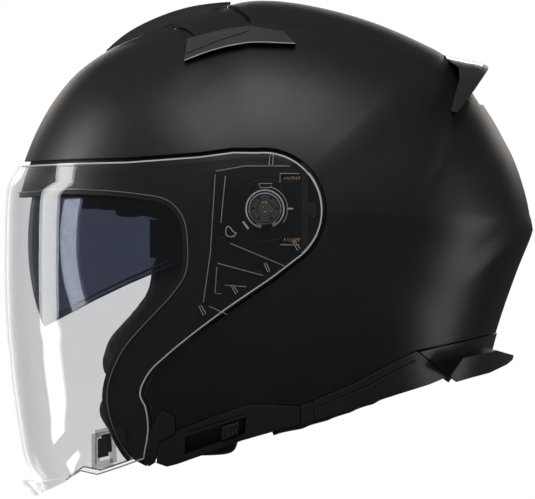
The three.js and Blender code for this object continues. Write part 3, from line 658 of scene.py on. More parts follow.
class Shader:
    """A material's node tree."""

    def __init__(self, name: str) -> None:
        """Starts an empty material.

        Args:
            name: The finish's name.
        """
        self.material = bpy.data.materials.new(name)
        self.material.use_nodes = True
        self.tree = self.material.node_tree
        self.tree.nodes.clear()

    def node(
        self, kind: str, settings: dict[str, object] | None = None, sockets: dict | None = None
    ) -> bpy.types.Node:
        """Adds a node.

        Args:
            kind: The node's type.
            settings: Its properties, which are set first.
            sockets: Values or links for its inputs, by name or number.

        Returns:
            The node.
        """
        node = self.tree.nodes.new(kind)
        for key, value in (settings or {}).items():
            if key == "stops":
                ramp = node.color_ramp
                for i, (place, colour) in enumerate(value):
                    stop = ramp.elements[i] if i < len(ramp.elements) else ramp.elements.new(place)
                    stop.position, stop.color = place, (*colour, 1.0)
            else:
                setattr(node, key, value)
        for key, value in (sockets or {}).items():
            if isinstance(value, Value):
                self.tree.links.new(value.socket, node.inputs[key])
            elif isinstance(value, bpy.types.NodeSocket):
                self.tree.links.new(value, node.inputs[key])
            elif value is not None:
                node.inputs[key].default_value = value
        return node

    def place(self) -> bpy.types.NodeSocket:
        """The piece's own coordinates, in metres."""
        return self.node("ShaderNodeTexCoord").outputs["Object"]

    def noise(
        self, scale: float, detail: float = 3.0, stretch: Sequence[float] = (1, 1, 1)
    ) -> Value:
        """Even noise on the piece's coordinates, with an optional stretch."""
        mapping = self.node(
            "ShaderNodeMapping", {}, {"Vector": self.place(), "Scale": tuple(stretch)}
        )
        node = self.node(
            "ShaderNodeTexNoise",
            {},
            {"Vector": mapping.outputs[0], "Scale": scale, "Detail": detail, "Roughness": 0.55},
        )
        return Value(self, node.outputs[0])

    def axis(self, name: str) -> Value:
        """One of the piece's coordinates."""
        return Value(self, self.node("ShaderNodeSeparateXYZ", {}, {0: self.place()}).outputs[name])

    def mix(
        self, share: Value, first: Sequence[float], second: Sequence[float]
    ) -> bpy.types.NodeSocket:
        """Two colours mixed by a share."""
        node = self.node("ShaderNodeMix", {"data_type": "RGBA"}, {0: share})
        node.inputs[6].default_value = (*first, 1.0)
        node.inputs[7].default_value = (*second, 1.0)
        return node.outputs[2]

    def bump(
        self, height: Value, strength: float, distance: float, edge: float = 0.0
    ) -> bpy.types.NodeSocket:
        """A surface relief, with optional rounding of sharp edges."""
        sockets: dict = {"Height": height, "Strength": strength, "Distance": distance}
        if edge:
            rounded = self.node("ShaderNodeBevel", {"samples": 4}, {"Radius": edge})
            sockets["Normal"] = rounded.outputs[0]
        return self.node("ShaderNodeBump", {}, sockets).outputs[0]

    def surface(self, **sockets: object) -> bpy.types.Node:
        """Adds the main surface shader, with inputs named with underscores for spaces."""
        return self.node(
            "ShaderNodeBsdfPrincipled", {}, {k.replace("_", " "): v for k, v in sockets.items()}
        )

    def done(self, shader: bpy.types.Node) -> bpy.types.Material:
        """Ends the tree with a surface."""
        self.node("ShaderNodeOutputMaterial", {}, {"Surface": shader.outputs[0]})
        return self.material


# ---------------------------------------------------------------- finishes


@dataclass(frozen=True)
class MoulderFinish:
    """Paint or moulded plastic: an even colour with a fine grain and soft edges."""

    name: str
    colour: Sequence[float]
    roughness: float
    grain: float = 0.06
    grain_scale: float = 2600.0
    cloud: float = 0.04
    edge: float = 0.0004
    coat: float = 0.0
    specular: float = 0.5

    def make(self) -> bpy.types.Material:
        """Builds the material."""
        s = Shader(self.name)
        grain = s.noise(self.grain_scale, 2)
        cloud = s.noise(38.0, 4)
        dust = s.noise(900.0, 2).above(0.66)
        tone = s.mix(cloud, [c * 0.82 for c in self.colour], [c * 1.2 for c in self.colour])
        rough = cloud * self.cloud + (self.roughness - self.cloud / 2) + dust * 0.03
        return s.done(
            s.surface(
                Base_Color=tone,
                Roughness=rough,
                Specular_IOR_Level=self.specular,
                Coat_Weight=self.coat,
                Coat_Roughness=0.04,
                Normal=s.bump(grain, self.grain, 0.0002, self.edge),
            )
        )


@dataclass(frozen=True)
class ClearFinish:
    """Clear or tinted plastic: light passes through, the surface mirrors more at grazing angles, and an optional
    emission paints a highlight there.
    """

    name: str
    tint: Sequence[float]
    mirror: float = 0.04
    roughness: float = 0.015
    sheen: Sequence[float] = (1.0, 1.0, 1.0)
    glow: float = 0.0

    def make(self) -> bpy.types.Material:
        """Builds the material."""
        s = Shader(self.name)
        facing = Value(s, s.node("ShaderNodeLayerWeight", {}, {"Blend": 0.5}).outputs["Facing"])
        share = facing**5.0 * (1 - self.mirror) + self.mirror
        smear = s.noise(60.0, 5, (1, 1, 0.3))
        through = s.node("ShaderNodeBsdfTransparent", {}, {"Color": (*self.tint, 1.0)})
        # Painted highlight: white emission that grows towards grazing angles, standing in for the edge reflection of
        # the sheet.
        painted_grazing_light = s.mix(facing**2.5, (0.0, 0.0, 0.0), (self.glow,) * 3)
        gloss = s.surface(
            Base_Color=(*self.sheen, 1.0), Metallic=1.0, Roughness=smear * 0.03 + self.roughness,
            Emission_Color=painted_grazing_light, Emission_Strength=1.0,
        )
        mixed = s.node(
            "ShaderNodeMixShader", {}, {0: share, 1: through.outputs[0], 2: gloss.outputs[0]}
        )
        return s.done(mixed)


@dataclass(frozen=True)
class ClothFinish:
    """Knitted or woven cloth with a soft pile."""

    name: str
    colour: Sequence[float]
    pitch: float = 0.0011
    relief: float = 0.5

    def make(self) -> bpy.types.Material:
        """Builds the material."""
        s = Shader(self.name)
        rate = 2 * math.pi / self.pitch
        wander = s.noise(220.0, 3) * 2.2
        across = ((s.axis("X") + s.axis("Y")) * rate + wander).sine()
        along = ((s.axis("Z") + s.axis("Y") * 0.6) * rate - wander).sine()
        knit = across * along
        fuzz = s.noise(3200.0, 3)
        tone = s.mix(fuzz, [c * 0.55 for c in self.colour], [c * 1.7 for c in self.colour])
        return s.done(
            s.surface(
                Base_Color=tone,
                Roughness=0.92,
                Sheen_Weight=0.35,
                Sheen_Roughness=0.4,
                Specular_IOR_Level=0.25,
                Normal=s.bump(knit * 0.5 + fuzz, self.relief, 0.0004),
            )
        )


@dataclass(frozen=True)
class FoamFinish:
    """Moulded bead foam: round cells pressed together."""

    name: str
    colour: Sequence[float]

    def make(self) -> bpy.types.Material:
        """Builds the material."""
        s = Shader(self.name)
        beads = s.node(
            "ShaderNodeTexVoronoi",
            {"feature": "SMOOTH_F1"},
            {"Vector": s.place(), "Scale": 330.0, "Smoothness": 0.3},
        )
        height = 1 - Value(s, beads.outputs["Distance"])
        # Darker towards the gaps between beads and lighter at their middles: painted shade in the seams.
        tone = s.mix(height, [c * 0.6 for c in self.colour], [c * 1.35 for c in self.colour])
        return s.done(
            s.surface(
                Base_Color=tone,
                Roughness=0.85,
                Specular_IOR_Level=0.2,
                Normal=s.bump(height, 0.55, 0.0007),
            )
        )


@dataclass(frozen=True)
class MetalFinish:
    """Plated or drawn metal with fine scratches."""

    name: str
    colour: Sequence[float]
    roughness: float = 0.3

    def make(self) -> bpy.types.Material:
        """Builds the material."""
        s = Shader(self.name)
        lines = s.noise(1400.0, 3, (1, 9, 1))
        stain = s.noise(160.0, 4)
        tone = s.mix(
            stain, [c * 0.75 for c in self.colour], [min(c * 1.15, 1) for c in self.colour]
        )
        return s.done(
            s.surface(
                Base_Color=tone,
                Metallic=1.0,
                Roughness=lines * 0.18 + (self.roughness - 0.09),
                Normal=s.bump(lines, 0.1, 0.0001, 0.0003),
            )
        )


class Finish(Enum):
    """Every finish on the helmet, with its slot in the record."""

    PAINT = (
        "matte_paint",
        MoulderFinish("matte_black_paint", (0.0155, 0.0155, 0.016), 0.42, 0.12, 3000, 0.05)
    )
    GLOSS = (
        "gloss_black",
        MoulderFinish("gloss_black_plastic", (0.06, 0.062, 0.066), 0.27, 0.02, 900, 0.05, coat=0.4)
    )
    SATIN = (
        "satin_black",
        MoulderFinish("satin_black_plastic", (0.031, 0.031, 0.032), 0.33, 0.2, 2200, 0.06)
    )
    PLATE = (
        "satin_black",
        MoulderFinish("pivot_plate_plastic", (0.0105, 0.011, 0.0115), 0.3, 0.08, 1800, 0.06)
    )
    # Pale grey on black rubber: a painted highlight line along the eye gasket.
    BEAD = (
        "gasket_rubber",
        MoulderFinish("bead_rubber", (0.36, 0.37, 0.4), 0.22, 0.05, 1600, 0.06, coat=0.5)
    )
    LENS_EDGE = (
        "smoke_visor",
        MoulderFinish("tinted_cut_edge", (0.035, 0.04, 0.065), 0.15, 0.03, 900, 0.05, coat=0.5)
    )
    # Light grey on satin black parts: painted highlight lines for the pivot ribs and the wing's lower edge.
    RIB = (
        "satin_black", MoulderFinish("rib_edge_plastic", (0.5, 0.5, 0.52), 0.2, 0.05, 1800, 0.05)
    )
    HUB = ("satin_black", MoulderFinish("hub_plastic", (0.075, 0.074, 0.072), 0.3, 0.1, 2200, 0.06))
    RUBBER = (
        "gasket_rubber", MoulderFinish("soft_rubber", (0.011, 0.011, 0.011), 0.55, 0.25, 1600, 0.08)
    )
    FOAM = ("foam", FoamFinish("bead_foam", (0.02, 0.02, 0.021)))
    LINING = ("lining_fabric", ClothFinish("lining_knit", (0.012, 0.012, 0.0125)))
    WEBBING = ("webbing", ClothFinish("strap_weave", (0.01, 0.01, 0.01), 0.0018, 0.9))
    # The clear visor emits a painted white highlight towards grazing angles.
    CLEAR = ("clear_visor", ClearFinish("clear_plastic", (0.905, 0.908, 0.912), glow=0.75))
    # Opaque light grey in place of clear plastic: painted highlight lines on edges, the ring and marks.
    CLEAR_EDGE = (
        "clear_visor",
        MoulderFinish("clear_cut_edge", (0.8, 0.81, 0.84), 0.16, 0.03, 900, 0.05, coat=0.6)
    )
    CLEAR_TRIM = ("clear_visor", ClearFinish("clear_trim_plastic", (0.8, 0.8, 0.8), 0.12, 0.05))
    SMOKE = (
        "smoke_visor",
        ClearFinish("smoke_tint_plastic", (0.5, 0.52, 0.59), 0.055, 0.02, (0.85, 0.9, 1.0))
    )
    STEEL = ("steel", MetalFinish("zinc_steel", (0.42, 0.42, 0.43)))
    BOLT = ("steel", MetalFinish("dark_bolt_steel", (0.5, 0.45, 0.38), 0.24))
    COPPER = ("copper", MetalFinish("copper_wire", (0.85, 0.55, 0.32), 0.3))
    LEVER = ("lever_red", MoulderFinish("red_lever_plastic", (0.3, 0.012, 0.014), 0.35, 0.1))
    TONGUE = ("webbed_plastic", MoulderFinish("toothed_plastic", (0.016, 0.016, 0.016), 0.4, 0.15))

    @property
    def slot(self) -> str:
        """The record's material slot."""
        return self.value[0]

    def material(self) -> bpy.types.Material:
        """The finish's material, made once."""
        style = self.value[1]
        return bpy.data.materials.get(style.name) or style.make()


# ---------------------------------------------------------------- making pieces


class Workshop:
    """Turns solids into named pieces that ride on the frame's bodies."""

    def __init__(self, frame: dict) -> None:
        """Reads which body each node belongs to.

        Args:
            frame: The loaded frame.
        """
        self.nodes = frame["nodes"]
        self.body_of = {
            node: body
            for body, nodes in frame["record"]["behaviour"]["bodies"].items()
            for node in nodes
        }

    def shape(
        self, name: str, mesh: bpy.types.Mesh, finish: Finish, crease: float = 32.0
    ) -> bpy.types.Object:
        """Makes an object of a mesh in metres, with smooth faces and sharp corners."""
        mesh.name = name
        mesh.materials.clear()
        mesh.materials.append(finish.material())
        mesh.shade_smooth()
        mesh.set_sharp_from_angle(angle=math.radians(crease))
        piece = bpy.data.objects.new(name, mesh)
        bpy.context.scene.collection.objects.link(piece)
        return piece

    def fit(
        self, name: str, body: Solid, finish: Finish, rides: str, stands_for: Sequence[str] = (),
        crease: float = 32.0, soften: float = 0.0,
    ) -> bpy.types.Object:
        """Makes a piece of a solid and mounts it.

        Args:
            name: The piece's name.
            body: Its solid, in millimetres.
            finish: Its finish.
            rides: The body, or a node of the body, that it moves with.
            stands_for: The frame's nodes that it replaces.
            crease: The angle in degrees past which an edge stays sharp.
            soften: The width of a bevel on its edges, in millimetres.

        Returns:
            The piece.
        """
        mesh = body.mesh.copy()
        at = np.array([v.co for v in mesh.vertices], float) * MILLIMETRE
        mesh.vertices.foreach_set("co", at.ravel())
        shape = bmesh.new()
        shape.from_mesh(mesh)
        bmesh.ops.dissolve_degenerate(shape, dist=2e-6, edges=shape.edges)
        loose = [v for v in shape.verts if not v.link_faces]
        bmesh.ops.delete(shape, geom=loose, context="VERTS")
        shape.to_mesh(mesh)
        shape.free()
        piece = self.shape(name, mesh, finish, crease)
        if soften:
            bevel = piece.modifiers.new("edges", "BEVEL")
            bevel.width = soften * MILLIMETRE
            bevel.segments = 2
            bevel.limit_method = "ANGLE"
            bevel.angle_limit = math.radians(crease)
            bevel.harden_normals = True
        return self.mount(piece, finish, rides, stands_for)

    def stand_in(
        self, name: str, body: Solid, finish: Finish, node: str, crease: float = 32.0,
        soften: float = 0.0,
    ) -> bpy.types.Object:
        """Makes a piece of a solid that moves with one node and stands for it."""
        return self.fit(name, body, finish, node, [node], crease, soften)

    def mount(
        self, piece: bpy.types.Object, finish: Finish, rides: str, stands_for: Sequence[str] = (),
        stretch: tuple[str, Sequence[float], Sequence[float]] | None = None,
    ) -> bpy.types.Object:
        """Makes a finished piece ride on a body and stand for nodes.

        Args:
            piece: The piece.
            finish: Its finish.
            rides: The body, or a node of the body, that it moves with.
            stands_for: The frame's nodes that it replaces.
            stretch: A second body that it reaches to, and where the reach starts and ends.

        Returns:
            The piece.
        """
        body = self.body_of.get(rides, rides)
        if stretch:
            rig.blend(piece, body, *stretch)
        else:
            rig.ride(piece, body)
        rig.slot(piece, finish.slot)
        if stands_for:
            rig.replaces(piece, *stands_for)
        LOG.info("%s: %d faces on %s", piece.name, len(piece.data.polygons), rides)
        return piece

    def dress(self, node: str, finish: Finish) -> None:
        """Gives a node of the frame a better material."""
        shown = self.nodes[node]
        shown.data.materials.clear()
        shown.data.materials.append(finish.material())
        LOG.info("%s: dressed in %s", node, finish.slot)


# ---------------------------------------------------------------- repeated things


class NodeTree:
    """A Geometry Nodes tree, built node by node."""

    def __init__(self, name: str, sizes: dict[str, tuple[str, object]]) -> None:
        """Starts a tree.

        Args:
            name: The tree's name.
            sizes: Its named inputs, each with a socket type and a value.
        """
        self.tree = bpy.data.node_groups.new(name, "GeometryNodeTree")
        self.tree.interface.new_socket("Geometry", in_out="INPUT", socket_type="NodeSocketGeometry")
        self.ids: dict[str, str] = {}
        self.values = {}
        for key, (kind, value) in sizes.items():
            socket = self.tree.interface.new_socket(key, in_out="INPUT", socket_type=kind)
            self.ids[key] = socket.identifier
            self.values[key] = value
        self.tree.interface.new_socket(
            "Geometry", in_out="OUTPUT", socket_type="NodeSocketGeometry"
        )
        self.inputs = self.tree.nodes.new("NodeGroupInput")

    def node(
        self, kind: str, settings: dict | None = None, sockets: dict | None = None
    ) -> bpy.types.Node:
        """Adds a node with its settings first and then its values or links."""
        node = self.tree.nodes.new(kind)
        for key, value in (settings or {}).items():
            setattr(node, key, value)
        for key, value in (sockets or {}).items():
            if isinstance(value, bpy.types.NodeSocket):
                self.tree.links.new(value, node.inputs[key])
            else:
                node.inputs[key].default_value = value
        return node

    def given(self, key: str) -> bpy.types.NodeSocket:
        """One of the tree's inputs."""
        return self.inputs.outputs[key]

    def finish(self, geometry: bpy.types.NodeSocket, material: bpy.types.Material) -> None:
        """Ends the tree with real meshes in one material."""
        real = self.node("GeometryNodeRealizeInstances", {}, {0: geometry})
        dressed = self.node(
            "GeometryNodeSetMaterial", {}, {0: real.outputs[0], "Material": material}
        )
        smooth = self.node("GeometryNodeSetShadeSmooth", {}, {0: dressed.outputs[0]})
        out = self.tree.nodes.new("NodeGroupOutput")
        self.tree.links.new(smooth.outputs[0], out.inputs[0])

    def run(self, name: str, start: bpy.types.Mesh) -> bpy.types.Object:
        """Runs the tree on a mesh and keeps the result as a plain object."""
        source = bpy.data.objects.new(f"{name}_source", start)
        bpy.context.scene.collection.objects.link(source)
        modifier = source.modifiers.new("tree", "NODES")
        modifier.node_group = self.tree
        for key, identifier in self.ids.items():
            modifier[identifier] = self.values[key]
        depsgraph = bpy.context.evaluated_depsgraph_get()
        mesh = bpy.data.meshes.new_from_object(source.evaluated_get(depsgraph))
        source.modifiers.remove(modifier)
        bpy.data.objects.remove(source)
        mesh.name = name
        made = bpy.data.objects.new(name, mesh)
        bpy.context.scene.collection.objects.link(made)
        return made


def coil(name: str, start: Sequence[float], end: Sequence[float], radius: float, wire: float,
         turns: float,
         finish: Finish) -> bpy.types.Object:
    """A coil spring between two points, made by a tree.

    Args:
        name: The piece's name.
        start: One end, in millimetres.
        end: The other end, in millimetres.
        radius: The coil's radius at the wire's middle.
        wire: The wire's radius.
        turns: How many turns it has.
        finish: Its finish.

    Returns:
        The spring.
    """
    a, b = Vector(start) * MILLIMETRE, Vector(end) * MILLIMETRE
    tree = NodeTree(
        "coil_spring",
        {
            "Coil Radius": ("NodeSocketFloat", radius * MILLIMETRE),
            "Wire Radius": ("NodeSocketFloat", wire * MILLIMETRE),
            "Length": ("NodeSocketFloat", (b - a).length),
            "Turns": ("NodeSocketFloat", turns),
            "Place": ("NodeSocketVector", tuple(a)),
            "Turn": ("NodeSocketVector", tuple((b - a).to_track_quat("Z", "Y").to_euler())),
        },
    )
    spiral = tree.node(
        "GeometryNodeCurveSpiral",
        {},
        {
            "Resolution": 14,
            "Rotations": tree.given("Turns"),
            "Start Radius": tree.given("Coil Radius"),
            "End Radius": tree.given("Coil Radius"),
            "Height": tree.given("Length"),
        },
    )
    section = tree.node(
        "GeometryNodeCurvePrimitiveCircle", {}, {
            "Resolution": 8, "Radius": tree.given("Wire Radius")
        }
    )
    wire_mesh = tree.node(
        "GeometryNodeCurveToMesh",
        {},
        {"Curve": spiral.outputs[0], "Profile Curve": section.outputs[0], "Fill Caps": True},
    )
    placed = tree.node(
        "GeometryNodeTransform",
        {},
        {
            "Geometry": wire_mesh.outputs[0], "Translation": tree.given("Place"),
            "Rotation": tree.given("Turn")
        },
    )
    tree.finish(placed.outputs[0], finish.material())
    return tree.run(name, bpy.data.meshes.new(f"{name}_start"))


def row_along(name: str, path: Sequence[Sequence[float]], facing: Sequence[Sequence[float]],
              spacing: float,
              size: Sequence[float], finish: Finish, round_ends: bool = True) -> bpy.types.Object:
    """Equal small pieces set along a path by a tree, such as stitches, ribs or teeth.

    Args:
        name: The piece's name.
        path: The points of the path, in millimetres.
        facing: The outward direction at each point.
        spacing: From one small piece to the next, in millimetres.
        size: Each small piece along the path, across it and outwards, in millimetres.
        finish: Their finish.
        round_ends: Whether each is a rounded bead rather than a small block.

    Returns:
        All of them as one piece.
    """
    start = bpy.data.meshes.new(f"{name}_start")
    points = [tuple(np.array(p, float) * MILLIMETRE) for p in path]
    start.from_pydata(points, [(i, i + 1) for i in range(len(points) - 1)], [])
    outward = start.attributes.new("outward", "FLOAT_VECTOR", "POINT")
    outward.data.foreach_set("vector", np.array(facing, float).ravel())
    tree = NodeTree(
        "row_along_path",
        {
            "Spacing": ("NodeSocketFloat", spacing * MILLIMETRE),
            "Size": ("NodeSocketVector", tuple(s * MILLIMETRE for s in size)),
        },
    )
    curve = tree.node("GeometryNodeMeshToCurve", {}, {0: tree.given("Geometry")})
    even = tree.node(
        "GeometryNodeResampleCurve",
        {"mode": "LENGTH"},
        {"Curve": curve.outputs[0], "Length": tree.given("Spacing")},
    )
    tangent = tree.node("GeometryNodeInputTangent")
    out = tree.node(
        "GeometryNodeInputNamedAttribute", {"data_type": "FLOAT_VECTOR"}, {"Name": "outward"}
    )
    along = tree.node(
        "FunctionNodeAlignRotationToVector", {"axis": "X"}, {"Vector": tangent.outputs[0]}
    )
    turned = tree.node(
        "FunctionNodeAlignRotationToVector",
        {"axis": "Z", "pivot_axis": "X"},
        {"Rotation": along.outputs[0], "Vector": out.outputs[0]},
    )
    if round_ends:
        unit = tree.node("GeometryNodeMeshUVSphere", {}, {"Segments": 8, "Rings": 5, "Radius": 0.5})
    else:
        unit = tree.node("GeometryNodeMeshCube", {}, {"Size": (1.0, 1.0, 1.0)})
    rows = tree.node(
        "GeometryNodeInstanceOnPoints",
        {},
        {
            "Points": even.outputs[0],
            "Instance": unit.outputs[0],
            "Rotation": turned.outputs[0],
            "Scale": tree.given("Size"),
        },
    )
    tree.finish(rows.outputs[0], finish.material())
    made = tree.run(name, start)
    if not round_ends:
        made.data.shade_flat()
    return made


# ---------------------------------------------------------------- shell


@dataclass(frozen=True)
class Crease:
    """A raised edge in the shell that fades out at its ends."""

    line: tuple[Pair, ...]
    height: float
    inside: float
    outside: float
    fade_start: float = 0.0
    fade_end: float = 0.3

    def relief(self, x: np.ndarray, z: np.ndarray) -> np.ndarray:
        """How far the crease pushes points of the side view outwards."""
        line = np.array(curve_through(self.line, steps=6))
        best = np.full(x.shape, 1e9)
        signed = np.zeros(x.shape)
        share = np.zeros(x.shape)
        lengths = np.concatenate([[0], np.cumsum(np.linalg.norm(np.diff(line, axis=0), axis=1))])
        for i in range(len(line) - 1):
            a, b = line[i], line[i + 1]
            d = b - a
            size = float(np.linalg.norm(d))
            raw = ((x - a[0]) * d[0] + (z - a[1]) * d[1]) / size**2
            t = np.clip(raw, 0, 1)
            dx, dz = x - (a[0] + t * d[0]), z - (a[1] + t * d[1])
            near = np.hypot(dx, dz)
            cross = (d[0] * dz - d[1] * dx) / size
            better = near < best
            best = np.where(better, near, best)
            signed = np.where(better, np.sign(cross) * near, signed)
            share = np.where(better, (lengths[i] + t * size) / lengths[-1], share)
        rise = np.where(
            signed >= 0,
            1 - np.clip(signed / self.inside, 0, 1),
            1 - np.clip(-signed / self.outside, 0, 1) ** 0.8,
        )
        rise = np.clip(rise, 0, 1)
        strength = np.ones(x.shape)
        if self.fade_start:
            strength *= np.clip(share / self.fade_start, 0, 1)
        if self.fade_end:
            strength *= np.clip((1 - share) / self.fade_end, 0, 1)
        return self.height * rise * strength


@dataclass
class ShellWork:
    """The painted shell with its creases, its stepped pocket under the visor and its vents."""

    shop: Workshop
    creases: tuple[Crease, ...] = (
        Crease(
            ((10.4, 104.8), (20.3, 104.2), (37.7, 102.3), (67.9, 92.8), (110.5, 76.2)), 1.5, 34, 5,
            0.0, 0.0
        ),
        Crease(((112.5, 56.0), (107, 40), (97, 14), (84, -13)), 2.0, 30, 7, 0.0, 0.6),
        Crease(((153, -11.2), (135, -24), (120, -37), (107.3, -47.7)), 2.3, 26, 8, 0.0, 0.75),
        Crease(((-47, 85), (-56, 79.5), (-64.4, 75.2)), 0.9, 14, 6, 0.0, 0.7),
    )
    grille_zone: tuple[float, float, float] = (125.0, 60.0, 66.5)
    shutter_room: float = 6.1
    vent_depth: float = 3.0

    def _relief(self, at: np.ndarray) -> np.ndarray:
        """How far the creases push out each point of the shell."""
        x, z = at[..., 0], at[..., 2]
        total = np.zeros(x.shape)
        for crease in self.creases:
            total = np.maximum(total, crease.relief(x, z))
        return total

    def vent_pocket(self) -> Solid:
        """The step in the crown that the vent's shutter slides in."""
        front = self.shutter_room
        low, high = 60, 160
        rooms = [
            column(
                [(-53.4 - front, s * 9), (-39.4 - front, s * 62), (-6.5, s * 66), (-21.5, s * 9)],
                low, high,
            )
            for s in (-1, 1)
        ]
        middle = column([(-59.5, -9.5), (-21.5, -9.5), (-21.5, 9.5), (-59.5, 9.5)], low, high)
        return layer(-6, self.vent_depth) & (rooms[0] + rooms[1] + middle)

    def build(self) -> None:
        """Makes the shell."""
        pocket = prism(grow(VISOR_SIDE, POCKET_MARGIN))
        room = prism(grow(VISOR_SIDE, POCKET_MARGIN + SHELL_WALL))
        eyes = prism([*EYE_EDGE, (-60, -170), (-220, -170), (-220, 9.8)])
        keep = prism([*LOWER_EDGE, (-200, -150), (-200, 200), (170, 200)])
        painted = egg(SHELL_PROFILE, SHELL_HALF_WIDTH, turns=340, rings=132, relief=self._relief)
        hollow = shell_egg(SHELL_WALL) - room
        stepped = shell_egg(POCKET_DEPTH)
        shell = ((painted - pocket) + stepped) - (hollow + shell_egg(POCKET_DEPTH + POCKET_WALL))
        shell = (shell & keep) - eyes - self.vent_pocket()
        grille = layer(-3, 2.4) & block(
            (40, self.grille_zone[1] + 0.6, 11.6), (self.grille_zone[0], 0, self.grille_zone[2])
        )
        shell = shell - grille
        for side in Side:
            shell = shell - pin(2.8, side.value * 95, side.value * 130)
        self.shop.stand_in("shell", shell, Finish.PAINT, "outer_shell", crease=26)


# ---------------------------------------------------------------- clear visor


@dataclass
class ClearVisor:
    """The long clear visor with its lifting lip, and the latches in its lower corners."""

    shop: Workshop
    hub_hole: float = 9.5
    latch_thickness: float = 3.0
    latch_travel: float = 3.0

    def _sheet(self) -> Solid:
        """The visor's curved sheet with its lip and the bosses round its pivots."""
        front = block((2 * WIDE, 4 * WIDE, 4 * WIDE), (-WIDE + 60, 0, 0))
        sheet = ((visor_egg(0) - visor_egg(VISOR_WALL)) & prism(VISOR_SIDE)) & front
        sheet = sheet + self._lip()
        pole = SHELL_HALF_WIDTH + VISOR_GAP + VISOR_WALL
        for side in Side:
            sheet = sheet + pin(11.2, side.value * (pole - 2.6), side.value * (pole - 0.4))
            sheet = sheet - pin(self.hub_hole, side.value * (pole - 9), side.value * (pole + 9))
        return sheet

    def _lip(self) -> Solid:
        """The lip that a hand lifts the visor by."""
        outline = [
            (-200, -166.5), (-136.5, -166.5), (-134, -166.4), (-114.4, -157.2), (-116, -154.6),
            (-131.4, -157.2), (-140, -157),
        ]

        def lip_egg(depth: float) -> Solid:
            """The lip's egg at a depth."""
            return egg(
                lambda a: np.maximum(VISOR_FRONT(a) + 7 - depth, 40),
                SHELL_HALF_WIDTH + 4 - depth,
                turns=192,
                rings=80,
            )

        return ((lip_egg(0) - lip_egg(8.6)) & prism(outline)) & block(
            (240, 120, 400), (-120, 0, -100)
        )

    def _rim(self, side: Side) -> Solid:
        """A band along the cut edge of the sheet, where a painted highlight line goes."""
        line = [p for p in VISOR_SIDE if p[0] > -150]
        band = plate_of_visor(ribbon(line, 0.05, 0.85), side)
        return band

    def _corner(self, outline: Sequence[Pair], hole: Sequence[Pair] | None, side: Side) -> Solid:
        """A piece on the visor's inner face."""
        room = VISOR_WALL + CLEARANCE
        span = (0.0, WIDE) if side is Side.RIGHT else (-WIDE, 0.0)
        piece = (visor_egg(room) - visor_egg(room + self.latch_thickness)) & prism(outline, *span)
        return piece - prism(hole, *span) if hole else piece

    def build(self) -> None:
        """Makes the visor, its latches and their posts."""
        self.shop.stand_in(
            "clear_visor_sheet", self._sheet(), Finish.CLEAR, "clear_visor", crease=24
        )
        below = self.latch_travel + 0.8
        hole = [(-96.6, -131.2), (-89.8, -130), (-88.9, -141.5 - below), (-96.6, -143.2 - below)]
        frame = [(-99.5, -129), (-87.8, -126.6), (-86.8, -143.8 - below), (-99.5, -145.6 - below)]
        slider = [(-96, -131.8), (-90.4, -130.6), (-89.6, -141.5), (-96, -143)]
        post = [(-86, -125.8), (-80.8, -124.6), (-79.6, -134.4), (-83.6, -136.2)]
        eyes = prism([*EYE_EDGE, (-60, -170), (-220, -170), (-220, 9.8)])
        for side in Side:
            word = side.word
            # An opaque light grey band along the visor's edge: a painted highlight.
            self.shop.fit(
                f"clear_visor_rim_{word}", self._rim(side), Finish.CLEAR_EDGE, "clear_visor"
            )
            self.shop.stand_in(
                f"latch_housing_{word}", self._corner(frame, hole, side), Finish.CLEAR_TRIM,
                f"latch_frame_{word}",
            )
            self.shop.stand_in(
                f"latch_slider_{word}", self._corner(slider, None, side), Finish.SATIN,
                f"visor_latch_{word}",
            )
            self.shop.stand_in(
                f"latch_catch_{word}", plate(post, 0.2, POCKET_DEPTH - CLEARANCE, side) - eyes,
                Finish.SATIN,
                f"latch_post_{word}",
            )


# ---------------------------------------------------------------- pivots


